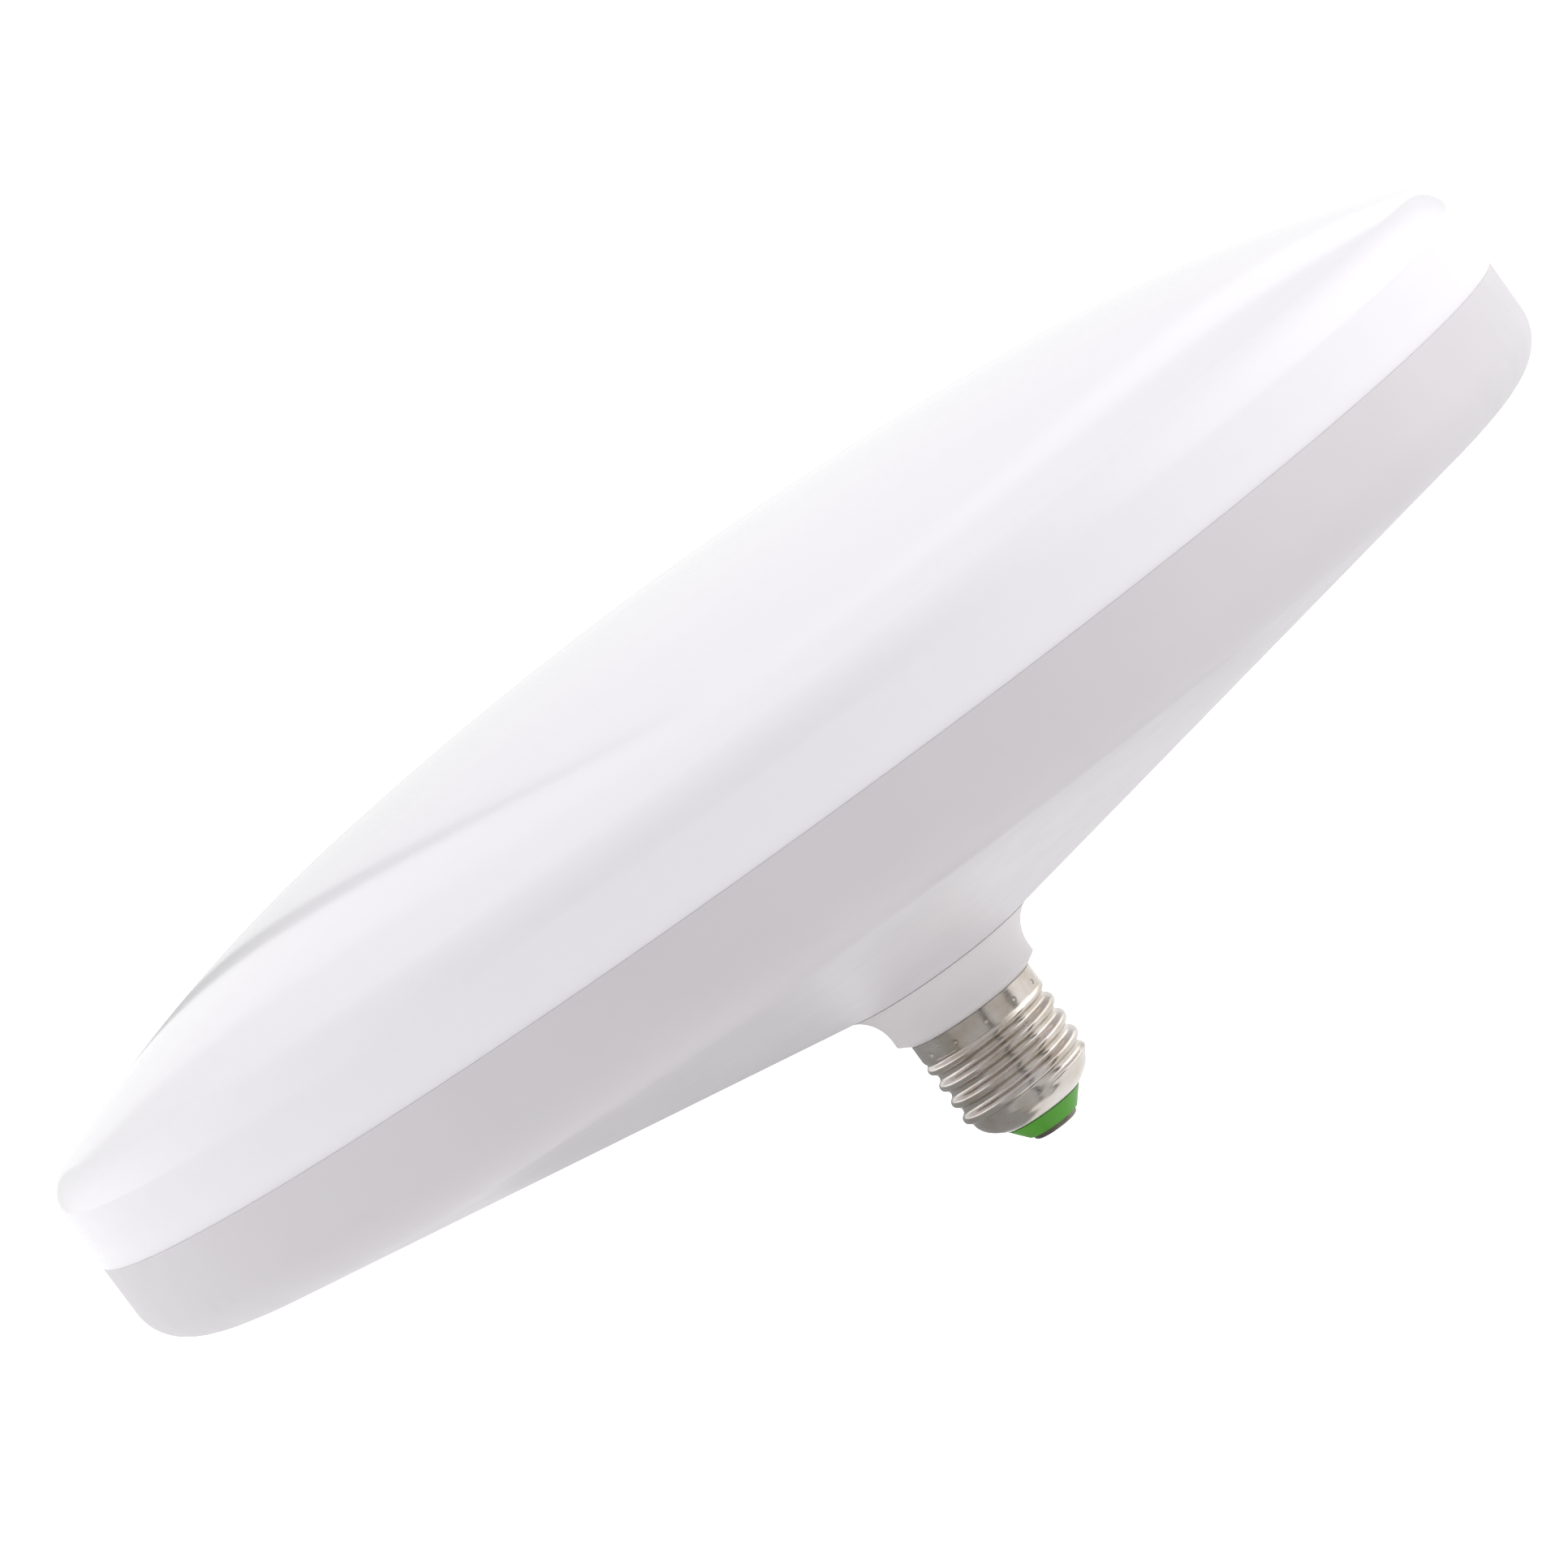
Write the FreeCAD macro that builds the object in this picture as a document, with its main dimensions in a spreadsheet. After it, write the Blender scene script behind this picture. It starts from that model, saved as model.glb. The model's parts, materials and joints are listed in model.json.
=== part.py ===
import FreeCAD, Part
import math
import os
import Sketcher
from FreeCAD import Placement, Rotation, Vector

# LED disc lamp: a wide shallow diffuser on a moulded pan, with a neck and a screw cap.
# Frame: +Z runs up the axis from the cap to the diffuser, and the tip of the centre
# contact is the origin. All lengths are millimetres and all angles are degrees.

DRIVING_SIZES = (
    ("disc_radius", 150.0, "outer radius of the diffuser wall and of the housing band"),
    ("seam_chamfer", 0.45, "chamfer on both edges of the joint between diffuser and housing"),
    # diffuser cover
    ("side_wall", 10.2, "height of the diffuser's upright wall above that joint"),
    ("crown_radius", 660.0, "radius of the middle of the dome"),
    ("haunch_start", 75.0, "distance from the axis where the dome starts to bend more"),
    ("haunch_radius", 290.0, "radius of the outer part of the dome"),
    ("shoulder_radius", 8.0, "radius between the dome and its side wall"),
    ("cover_wall", 1.6, "wall of the diffuser"),
    ("lip_depth", 6.5, "depth of the diffuser's lip inside the band"),
    ("lip_wall", 1.7, "thickness of the lip"),
    ("lip_play", 0.2, "clearance between the lip and the band"),
    ("bead_reach", 0.8, "how far a snap bead stands out of the lip"),
    ("bead_drop", 3.2, "distance from the seam down to a bead's crest"),
    ("bead_half", 1.1, "half the height of a snap bead"),
    ("bead_arc", 14.0, "angle that one snap bead covers"),
    # back housing
    ("band_height", 10.4, "height of the upright band below the seam"),
    ("band_wall", 2.0, "wall of the band"),
    ("corner_round", 8.5, "outer radius between the band and the cone"),
    ("cone_rise", 28.1, "rise of the cone from the neck flange to the band's corner"),
    ("cone_wall", 1.8, "wall of the cone, measured upright"),
    ("snap_play", 0.3, "clearance around a snap bead in its groove"),
    ("rib_thickness", 1.6, "thickness of a radial rib"),
    ("rib_height", 4.5, "height of a rib above the cone's inner face"),
    ("rib_start", 30.0, "distance from the axis to a rib's inner end"),
    ("rib_gap", 6.0, "distance from the band in to a rib's outer end"),
    ("collar_wall", 3.0, "wall of the collar around the neck flange"),
    ("collar_rise", 3.6, "height of the collar above its ledge"),
    ("ledge_thickness", 2.6, "thickness of the ledge that the neck flange seats on"),
    ("ledge_opening", 13.0, "radius of the wire opening through the ledge"),
    # neck sleeve
    ("flange_radius", 20.0, "outer radius of the neck flange"),
    ("flange_play", 0.15, "clearance around the neck flange"),
    ("flange_rim", 3.0, "height of the rim of the neck flange"),
    ("joint_gap", 0.15, "fine joint between the flange's foot and the housing"),
    ("neck_radius", 15.05, "outer radius of the neck"),
    ("neck_length", 10.1, "height of the neck from its lower rim to the cone"),
    ("flare_radius", 8.0, "radius between the neck and its flange"),
    ("neck_chamfer", 1.2, "height of the chamfer at the neck's lower rim"),
    ("neck_bore", 11.0, "radius of the bore through the neck"),
    ("spigot_play", 0.15, "clearance between the spigot and the screw shell"),
    ("spigot_nose", 10.9, "outer radius of the spigot's reduced nose"),
    ("spigot_length", 7.6, "length of the spigot below the neck's rim"),
    ("nose_length", 4.0, "length of the reduced nose"),
    ("nose_bore", 9.6, "radius of the bore through the nose"),
    # screw cap
    ("cap_length", 27.0, "height from the contact's tip to the top of the screw shell"),
    ("cap_gap", 0.2, "gap between the shell's top edge and the neck's rim"),
    ("sheet", 0.3, "thickness of the rolled shell"),
    ("skirt_radius", 12.9, "outer radius of the plain skirt"),
    ("skirt_height", 3.6, "height of the plain skirt"),
    ("thread_crest", 13.15, "crest radius of the rolled thread"),
    ("thread_root", 12.055, "root radius of the rolled thread"),
    ("thread_pitch", 3.629, "pitch of the rolled thread"),
    ("thread_bend", 1.025, "radius of the crest and root rounds"),
    ("crest_mark", 19.5, "height of a thread crest over the +X axis"),
    ("upper_fade", 1.7, "height over which the thread runs out into the skirt"),
    ("lower_fade", 2.2, "height over which the thread runs out into the nose"),
    ("fade_reach", 1.65, "how far that run-out reaches down into the nose"),
    ("shell_lip_radius", 8.0, "outer radius of the shell's lower lip"),
    ("shell_lip_height", 4.4, "height of the shell's lower lip"),
    ("shell_nose", 5.0, "height of the shell's rounded nose"),
    ("dimple_radius", 0.55, "radius of the ball that stakes the skirt"),
    ("dimple_depth", 0.35, "depth of a staking dimple"),
    ("dimple_drop", 2.45, "distance from the shell's top edge down to a dimple"),
    ("contact_radius", 4.6, "radius of the centre contact"),
    ("contact_height", 1.1, "height of the contact below the insulator"),
    ("contact_round", 0.7, "rounding of the contact's edge"),
    ("stem_radius", 1.7, "radius of the contact's stem"),
    ("stem_length", 3.2, "length of the contact's stem"),
    ("stem_play", 0.1, "clearance around the contact's stem"),
    ("insulator_foot", 5.3, "radius of the insulator's lower face"),
    ("insulator_flank", 7.9, "radius of the insulator where the shell's lip meets it"),
    ("insulator_play", 0.15, "clearance between the insulator and the shell"),
    ("insulator_seat", 7.45, "radius of the insulator just inside the shell's lip"),
    ("insulator_shoulder", 10.2, "radius of the insulator's shoulder inside the nose"),
    ("shoulder_height", 6.7, "height of that shoulder"),
    ("insulator_top", 8.6, "height of the insulator's upper face"),
    ("insulator_recess", 2.2, "depth of the ring recess in the insulator's upper face"),
    ("insulator_wall", 1.6, "wall around that recess"),
    # light engine
    ("plate_play", 5.1, "distance from the diffuser's lip in to the heat plate"),
    ("plate_thickness", 1.0, "thickness of the heat plate"),
    ("plate_drop", 5.0, "distance from the seam down to the heat plate's lower face"),
    ("plate_rim", 4.0, "height of the heat plate's turned rim"),
    ("board_inset", 7.0, "distance from the heat plate's edge in to the LED board's edge"),
    ("board_thickness", 1.2, "thickness of the LED board"),
    ("wire_opening", 6.0, "radius of the wire opening in plate, board and sheet"),
    ("boss_inset", 12.0, "distance from the LED board's edge in to a board screw"),
    ("boss_radius", 4.0, "radius of a screw boss"),
    ("chip_length", 3.5, "length of an LED package"),
    ("chip_width", 2.8, "width of an LED package"),
    ("chip_height", 0.7, "height of an LED package"),
    ("first_ring", 30.0, "radius of the innermost ring of LED packages"),
    ("ring_inset", 14.0, "distance from the board screws in to the outermost ring"),
    ("sheet_radius", 58.0, "radius of the insulating sheet"),
    ("film_thickness", 0.4, "thickness of the insulating sheet"),
    # screws
    ("screw_radius", 1.45, "radius of a screw's shank"),
    ("screw_length", 8.0, "length of a board screw below its head"),
    ("short_screw", 6.0, "length of a driver or neck screw below its head"),
    ("screw_point", 1.7, "length of a screw's point"),
    ("screw_tip", 0.36, "radius of the end of that point"),
    ("head_radius", 2.8, "radius of a screw head"),
    ("head_height", 1.9, "height of a screw head"),
    ("recess_length", 3.6, "length of one arm of the cross recess"),
    ("recess_width", 0.8, "width of one arm of the cross recess"),
    ("recess_depth", 1.0, "depth of the cross recess"),
    ("pilot_play", 0.05, "clearance around a shank in its pilot hole"),
    ("pilot_spare", 0.25, "depth of a pilot hole beyond its screw's point"),
    ("through_play", 0.3, "clearance around a shank in a through hole"),
    ("neck_screw_circle", 16.6, "distance from the axis to a neck screw"),
    # driver
    ("driver_thickness", 1.6, "thickness of the driver board"),
    ("driver_length", 86.0, "length of the driver board"),
    ("driver_width", 54.0, "width of the driver board"),
    ("driver_gap", 6.0, "height of the driver board above the housing's collar"),
    ("post_inset", 5.0, "distance from the driver board's edges to a post"),
    ("post_radius", 3.4, "radius of a driver post"),
    ("transformer_x", 4.0, "place of the transformer along the driver board"),
    ("transformer_length", 20.0, "length of the transformer core"),
    ("transformer_depth", 6.0, "depth of the transformer core"),
    ("transformer_height", 16.0, "height of the transformer core"),
    ("yoke", 3.0, "thickness of the core's yokes and side legs"),
    ("middle_leg", 5.0, "width of the core's middle leg"),
    ("bobbin_wall", 0.8, "wall of the bobbin and of its flanges"),
    ("bobbin_play", 0.15, "clearance between the bobbin and the core"),
    ("base_height", 3.0, "height of the transformer's base"),
    ("winding_depth", 13.0, "depth of the transformer's winding"),
    ("input_can_radius", 6.25, "radius of the input capacitor"),
    ("input_can_height", 20.0, "height of the input capacitor"),
    ("input_can_end", 25.0, "distance from the driver board's input end to the input capacitor"),
    ("input_can_edge", 15.0, "distance from the driver board's rear edge to the input capacitor"),
    ("output_can_radius", 5.0, "radius of the output capacitor"),
    ("output_can_height", 16.0, "height of the output capacitor"),
    ("output_can_end", 18.0, "distance from the driver board's output end to the output capacitor"),
    ("output_can_edge", 15.0, "distance from the board's front edge to the output capacitor"),
    ("can_round", 0.8, "rounding of a capacitor's edges"),
    ("crimp_depth", 0.5, "depth of a capacitor's crimp"),
    ("crimp_height", 2.4, "height of that crimp above the capacitor's foot"),
    ("film_cap_length", 13.0, "length of the film capacitor"),
    ("film_cap_width", 6.0, "width of the film capacitor"),
    ("film_cap_height", 11.0, "height of the film capacitor"),
    ("film_cap_end", 15.0, "distance from the driver board's input end to the film capacitor"),
    ("film_cap_edge", 15.0, "distance from the driver board's front edge to the film capacitor"),
    ("choke_radius", 4.5, "radius of the choke's end discs"),
    ("choke_height", 11.0, "height of the choke"),
    ("choke_disc", 1.6, "thickness of the choke's end discs"),
    ("choke_hub", 2.2, "radius of the choke's hub"),
    ("choke_coil", 4.0, "radius of the choke's winding"),
    ("choke_end", 31.0, "distance from the driver board's input end to the choke"),
    ("choke_edge", 11.0, "distance from the driver board's front edge to the choke"),
    ("rectifier_length", 8.0, "length of the bridge rectifier"),
    ("rectifier_width", 6.4, "width of the bridge rectifier"),
    ("rectifier_height", 2.6, "height of the bridge rectifier"),
    ("rectifier_end", 13.0, "distance from the driver board's input end to the bridge rectifier"),
    ("varistor_radius", 5.0, "radius of the surge varistor"),
    ("varistor_thickness", 3.8, "thickness of the surge varistor"),
    ("varistor_end", 7.0, "distance from the driver board's input end to the surge varistor"),
    ("varistor_edge", 16.0, "distance from the driver board's rear edge to its rear face"),
    ("fuse_radius", 2.0, "radius of the fuse resistor"),
    ("fuse_length", 9.5, "length of the fuse resistor"),
    ("fuse_end", 16.0, "distance from the driver board's input end to the fuse resistor"),
    ("fuse_edge", 5.0, "distance from the driver board's front edge to the fuse resistor"),
    ("diode_radius", 2.5, "radius of the output diode"),
    ("diode_length", 9.0, "length of the output diode"),
    ("diode_end", 17.0, "distance from the driver board's output end to the output diode"),
    ("diode_edge", 14.0, "distance from the driver board's rear edge to the output diode"),
    ("driver_chip_length", 5.0, "length of the driver chip"),
    ("driver_chip_width", 4.0, "width of the driver chip"),
    ("driver_chip_height", 1.6, "height of the driver chip"),
    ("driver_chip_end", 37.0, "distance from the driver board's input end to the driver chip"),
    ("driver_chip_edge", 9.0, "distance from the driver board's rear edge to the driver chip"),
    ("transistor_width", 10.0, "width of the power transistor"),
    ("transistor_depth", 4.4, "depth of the power transistor"),
    ("transistor_height", 9.0, "height of the power transistor's case"),
    ("tab_thickness", 1.3, "thickness of the transistor's tab"),
    ("tab_height", 15.0, "height of the transistor's tab"),
    ("transistor_x", 8.0, "place of the power transistor along the driver board"),
    ("transistor_edge", 7.0, "distance from the driver board's front edge to the power transistor"),
    ("small_part_length", 3.2, "length of a chip resistor"),
    ("small_part_width", 1.6, "width of a chip resistor"),
    ("small_part_height", 0.6, "height of a chip resistor"),
    ("small_part_step", 4.2, "distance between the chip resistors of a row"),
    ("rear_row_x", 6.0, "start of the rear row of chip resistors along the driver board"),
    ("rear_row_edge", 7.0, "distance from the driver board's rear edge to that row"),
    ("front_row_end", 23.0, "distance from the driver board's input end to the front row"),
    ("front_row_edge", 5.0, "distance from the driver board's front edge to that row"),
    ("socket_length", 9.0, "length of a wire socket across its two wires"),
    ("socket_width", 6.0, "width of a wire socket"),
    ("socket_height", 7.0, "height of the driver board's wire socket"),
    ("terminal_height", 3.0, "height of the LED board's terminal block"),
    ("socket_end", 7.0, "distance from the driver board's output end to its wire socket"),
    ("terminal_x", 13.0, "distance from the axis to the LED board's terminal block"),
    ("wire_radius", 0.8, "radius of an insulated wire"),
    ("wire_bend", 3.0, "bend radius of a wire"),
    ("wire_pair", 1.4, "distance of each LED wire from the middle of its pair"),
    ("wire_rise_x", 3.2, "distance from the axis to the LED wires in their opening"),
    ("wire_gap", 1.6, "distance from the film down to the middle of an LED wire"),
    ("wire_loop", 5.0, "height of the LED wires' loop over the terminal block"),
    ("mains_wire_end", 13.0, "distance from each end of the driver board to a mains joint"),
    ("mains_wire_clear", 1.0, "distance between the collar and the mains wires over it"),
    ("neutral_x", 6.0, "distance from the axis to the neutral wire in the neck"),
    ("neutral_height", 17.7, "height where the neutral wire meets the shell"),
)

BEAD_COUNT = 8
RIB_COUNT = 12
BOSS_COUNT = 6
NECK_SCREW_COUNT = 3
NECK_SCREW_TURN = 90.0
DIMPLE_COUNT = 12
RING_COUNTS = (10, 18, 26, 34)
ROW_COUNT = 4
# Points of the rolled face once round, along one pitch, and past each end of the turn.
AROUND_COUNT = 28
PITCH_COUNT = 12
OVERLAP_COUNT = 20
# The rolled nose turns upright with this power of the height that is left.
NOSE_POWER = 2.4
FULL_TURN = 360.0
# The dimples start this far from +X, and the skirt's own seam lies away from the thread's.
DIMPLE_TURN = 3.0
SKIRT_SEAM_TURN = 138.0
# A cutting tool reaches this far past the faces that it opens.
CUT_OVERRUN = 1.0
SEAM_MATCH = 1.0e-5
# The rolled face ends this far inside the skirt's own ring, so that the two fuse face to face.
RING_STEP = 0.02

doc = FreeCAD.newDocument("led_disc_lamp")
sheet = doc.addObject("Spreadsheet::Sheet", "Sizes")
for row, (alias, number, meaning) in enumerate(DRIVING_SIZES, start=1):
    sheet.set(f"A{row}", alias)
    sheet.set(f"B{row}", str(number))
    sheet.set(f"C{row}", meaning)
    sheet.setAlias(f"B{row}", alias)
doc.recompute()


class Size:
    """A number and the expression on the sheet that gives it."""

    def __init__(self, value, text):
        self.value = float(value)
        self.text = text

    def __add__(self, other):
        other = as_size(other)
        return Size(self.value + other.value, f"({self.text} + {other.text})")

    def __sub__(self, other):
        other = as_size(other)
        return Size(self.value - other.value, f"({self.text} - {other.text})")

    def __mul__(self, other):
        other = as_size(other)
        return Size(self.value * other.value, f"({self.text} * {other.text})")

    def __truediv__(self, other):
        other = as_size(other)
        return Size(self.value / other.value, f"({self.text} / {other.text})")

    def __radd__(self, other):
        return as_size(other) + self

    def __rsub__(self, other):
        return as_size(other) - self

    def __rmul__(self, other):
        return as_size(other) * self

    def __neg__(self):
        return as_size(0.0) - self


def as_size(item):
    return item if isinstance(item, Size) else Size(item, repr(float(item)))


def sine(angle):
    angle = as_size(angle)
    return Size(math.sin(math.radians(angle.value)), f"sin({angle.text})")


def cosine(angle):
    angle = as_size(angle)
    return Size(math.cos(math.radians(angle.value)), f"cos({angle.text})")


def root(square):
    return Size(math.sqrt(square.value), f"sqrt({square.text})")


class SizeTable:
    """Gives each driving size by its name."""

    def __getattr__(self, alias):
        return Size(sheet.get(alias), f"Sizes.{alias}")


S = SizeTable()
sub_parts = []


def keep(obj, name):
    """Label an object as a finished sub-part."""
    obj.Label = name
    sub_parts.append(obj)
    return obj


def bind(obj, prop, size):
    obj.setExpression(prop, as_size(size).text)


def place(obj, x=0.0, y=0.0, z=0.0):
    for axis, size in zip("xyz", (x, y, z)):
        bind(obj, f"Placement.Base.{axis}", size)
    return obj


# Sketch helpers


def sketch_on(body, name, role="XZ_Plane", rise=None):
    """A sketch on one of the body's own origin planes, lifted by rise."""
    plane = [item for item in body.Origin.OriginFeatures if item.Role == role][0]
    sketch = body.newObject("Sketcher::SketchObject", name)
    sketch.AttachmentSupport = [(plane, "")]
    sketch.MapMode = "FlatFace"
    if rise is not None:
        bind(sketch, "AttachmentOffset.Base.z", rise)
    return sketch


def fix_point(sketch, edge, end, x, y, tag):
    """Fix one point of the sketch by its two distances from the origin."""
    for kind, size, axis in (("DistanceX", x, -2), ("DistanceY", y, -1)):
        size = as_size(size)
        if size.value == 0.0:
            sketch.addConstraint(Sketcher.Constraint("PointOnObject", edge, end, axis))
            continue
        number = sketch.addConstraint(Sketcher.Constraint(kind, -1, 1, edge, end, size.value))
        label = f"{kind[-1].lower()}_{tag}"
        sketch.renameConstraint(number, label)
        sketch.setExpression(f"Constraints.{label}", size.text)


def arc_between(start, end, bend):
    """The short arc from start to end; a positive bend turns left."""
    chord = end - start
    reach = abs(bend)
    height = math.sqrt(max(reach ** 2 - (chord.Length / 2) ** 2, 0.0))
    side = Vector(-chord.y, chord.x, 0).normalize()
    centre = start + chord / 2 + side * math.copysign(height, bend)
    first, last = (start, end) if bend > 0 else (end, start)
    angle_a = math.atan2(first.y - centre.y, first.x - centre.x)
    angle_b = math.atan2(last.y - centre.y, last.x - centre.x)
    if angle_b < angle_a:
        angle_b += 2 * math.pi
    circle = Part.Circle(centre, Vector(0, 0, 1), reach)
    return Part.ArcOfCircle(circle, angle_a, angle_b)


def outline(sketch, corners):
    """Draw a closed outline through corners (x, y) or (x, y, bend).

    A bend makes the edge that reaches the corner an arc of that radius.
    """
    corners = [tuple(as_size(item) for item in corner) for corner in corners]
    points = [Vector(corner[0].value, corner[1].value, 0) for corner in corners]
    ends = []
    for index, corner in enumerate(corners):
        start, end = points[index - 1], points[index]
        if len(corner) == 3:
            bend = corner[2]
            edge = sketch.addGeometry(arc_between(start, end, bend.value))
            ends.append((edge, 1, 2) if bend.value > 0 else (edge, 2, 1))
            radius = abs(bend.value)
            number = sketch.addConstraint(Sketcher.Constraint("Radius", edge, radius))
            sketch.renameConstraint(number, f"bend_{index}")
            sketch.setExpression(f"Constraints.bend_{index}", f"abs({bend.text})")
        else:
            edge = sketch.addGeometry(Part.LineSegment(start, end))
            ends.append((edge, 1, 2))
    for index, (edge, first, last) in enumerate(ends):
        next_edge, next_first, next_last = ends[(index + 1) % len(ends)]
        sketch.addConstraint(
            Sketcher.Constraint("Coincident", edge, last, next_edge, next_first)
        )
        fix_point(sketch, edge, last, corners[index][0], corners[index][1], index)
    return sketch


def circle_at(sketch, x, y, radius, tag="hole"):
    radius = as_size(radius)
    centre = Vector(as_size(x).value, as_size(y).value, 0)
    edge = sketch.addGeometry(Part.Circle(centre, Vector(0, 0, 1), radius.value))
    fix_point(sketch, edge, 3, x, y, tag)
    number = sketch.addConstraint(Sketcher.Constraint("Radius", edge, radius.value))
    sketch.renameConstraint(number, f"radius_{tag}")
    sketch.setExpression(f"Constraints.radius_{tag}", radius.text)
    return sketch


# Feature helpers


def turned_body(name, corners):
    """A body turned about the axis from half an outline."""
    body = doc.addObject("PartDesign::Body", name)
    sketch = outline(sketch_on(body, f"{name}_outline"), corners)
    turn = body.newObject("PartDesign::Revolution", f"{name}_turn")
    turn.Profile = sketch
    turn.ReferenceAxis = (sketch, ["V_Axis"])
    turn.Angle = FULL_TURN
    sketch.Visibility = False
    return keep(body, name)


def turned_tool(name, corners):
    """A turned solid used to build another piece."""
    sketch = outline(doc.addObject("Sketcher::SketchObject", f"{name}_outline"), corners)
    sketch.Placement = Placement(Vector(), Rotation(Vector(1, 0, 0), 90))
    turn = doc.addObject("Part::Revolution", name)
    turn.Source = sketch
    turn.Axis = Vector(0, 0, 1)
    turn.Angle = FULL_TURN
    turn.Solid = True
    return turn


def pocket(body, name, sketch, depth):
    cut = body.newObject("PartDesign::Pocket", name)
    cut.Profile = sketch
    bind(cut, "Length", depth)
    return cut


def around_axis(body, name, feature, count):
    """Repeat a feature of the body evenly about its Z axis."""
    axis = [item for item in body.Origin.OriginFeatures if item.Role == "Z_Axis"][0]
    pattern = body.newObject("PartDesign::PolarPattern", name)
    pattern.Originals = [feature]
    pattern.Axis = (axis, [""])
    pattern.Angle = FULL_TURN
    pattern.Occurrences = count
    body.Tip = pattern
    return pattern


def cylinder(name, radius, height, x=0.0, y=0.0, z=0.0):
    tool = doc.addObject("Part::Cylinder", name)
    bind(tool, "Radius", radius)
    bind(tool, "Height", height)
    return place(tool, x, y, z)


def box(name, length, width, height, x=0.0, y=0.0, z=0.0):
    """A box centred on x and y and standing on z."""
    tool = doc.addObject("Part::Box", name)
    bind(tool, "Length", length)
    bind(tool, "Width", width)
    bind(tool, "Height", height)
    return place(tool, x - length / 2, y - width / 2, z)


def fuse(name, tools):
    joined = doc.addObject("Part::MultiFuse", name)
    joined.Shapes = tools
    return joined


def cut(name, base, tool):
    result = doc.addObject("Part::Cut", name)
    result.Base = base
    result.Tool = tool
    return result


def ring_points(circle, count, start=0.0):
    """Places evenly round a circle, as sizes."""
    for index in range(count):
        angle = start + index * FULL_TURN / count
        yield circle * cosine(angle), circle * sine(angle)


# Heights and radii that several pieces share


def cone_height(distance):
    """Height of the cone's outer face at a distance from the axis."""
    return flange_edge + (distance - recess_radius) * cone_slope


def floor_height(distance):
    """Height of the cone's inner face at a distance from the axis."""
    return cone_height(distance) + S.cone_wall


recess_radius = S.flange_radius + S.flange_play
cone_run = S.disc_radius - recess_radius
cone_slope = S.cone_rise / cone_run
cone_cosine = cone_run / root(cone_run * cone_run + S.cone_rise * S.cone_rise)
cone_sine = cone_slope * cone_cosine
corner_reach = (1.0 - cone_sine) / cone_cosine
neck_rim = S.cap_length + S.cap_gap
flange_edge = neck_rim + S.neck_length
flange_top = flange_edge + S.flange_rim
ledge_top = flange_top + S.ledge_thickness
collar_top = ledge_top + S.collar_rise
band_bottom = flange_edge + S.cone_rise + S.corner_round * corner_reach
seam_height = band_bottom + S.band_height
corner_inset = S.corner_round * (1.0 - cone_sine)
corner_drop = S.corner_round * cone_cosine
band_inside = S.disc_radius - S.band_wall
lip_outside = band_inside - S.lip_play
lip_inside = lip_outside - S.lip_wall
lip_bottom = seam_height - S.lip_depth
bead_height = seam_height - S.bead_drop
skirt_inside = S.skirt_radius - S.sheet
plate_radius = lip_inside - S.plate_play
board_radius = plate_radius - S.board_inset
boss_circle = board_radius - S.boss_inset
plate_bottom = seam_height - S.plate_drop
board_bottom = plate_bottom + S.plate_thickness
board_top = board_bottom + S.board_thickness
driver_height = collar_top + S.driver_gap
driver_top = driver_height + S.driver_thickness
input_end = -S.driver_length / 2
output_end = S.driver_length / 2
front_edge = -S.driver_width / 2
rear_edge = S.driver_width / 2
film_bottom = plate_bottom - S.film_thickness
pilot_radius = S.screw_radius + S.pilot_play
through_radius = S.screw_radius + S.through_play


# Diffuser cover


def dome_arcs(inward):
    """Corners of the dome's three arcs, moved inward by a wall, from the rim to the axis."""
    crown_sine = S.haunch_start / S.crown_radius
    crown_cosine = root(1.0 - crown_sine * crown_sine)
    haunch_x = S.haunch_start - S.haunch_radius * crown_sine
    centre_gap = S.haunch_radius - S.shoulder_radius
    shoulder_run = (S.disc_radius - S.shoulder_radius - haunch_x) / centre_gap
    shoulder_rise = root(1.0 - shoulder_run * shoulder_run)
    shoulder_z = seam_height + S.side_wall
    haunch_z = shoulder_z - centre_gap * shoulder_rise
    crown_centre = haunch_z - (S.crown_radius - S.haunch_radius) * crown_cosine
    apex = crown_centre + S.crown_radius
    crown = S.crown_radius - inward
    haunch = S.haunch_radius - inward
    shoulder = S.shoulder_radius - inward
    return (
        (S.disc_radius - inward, shoulder_z),
        (haunch_x + haunch * shoulder_run, haunch_z + haunch * shoulder_rise, shoulder),
        (crown * crown_sine, crown_centre + crown * crown_cosine, haunch),
        (0.0, apex - inward, crown),
    )


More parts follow.
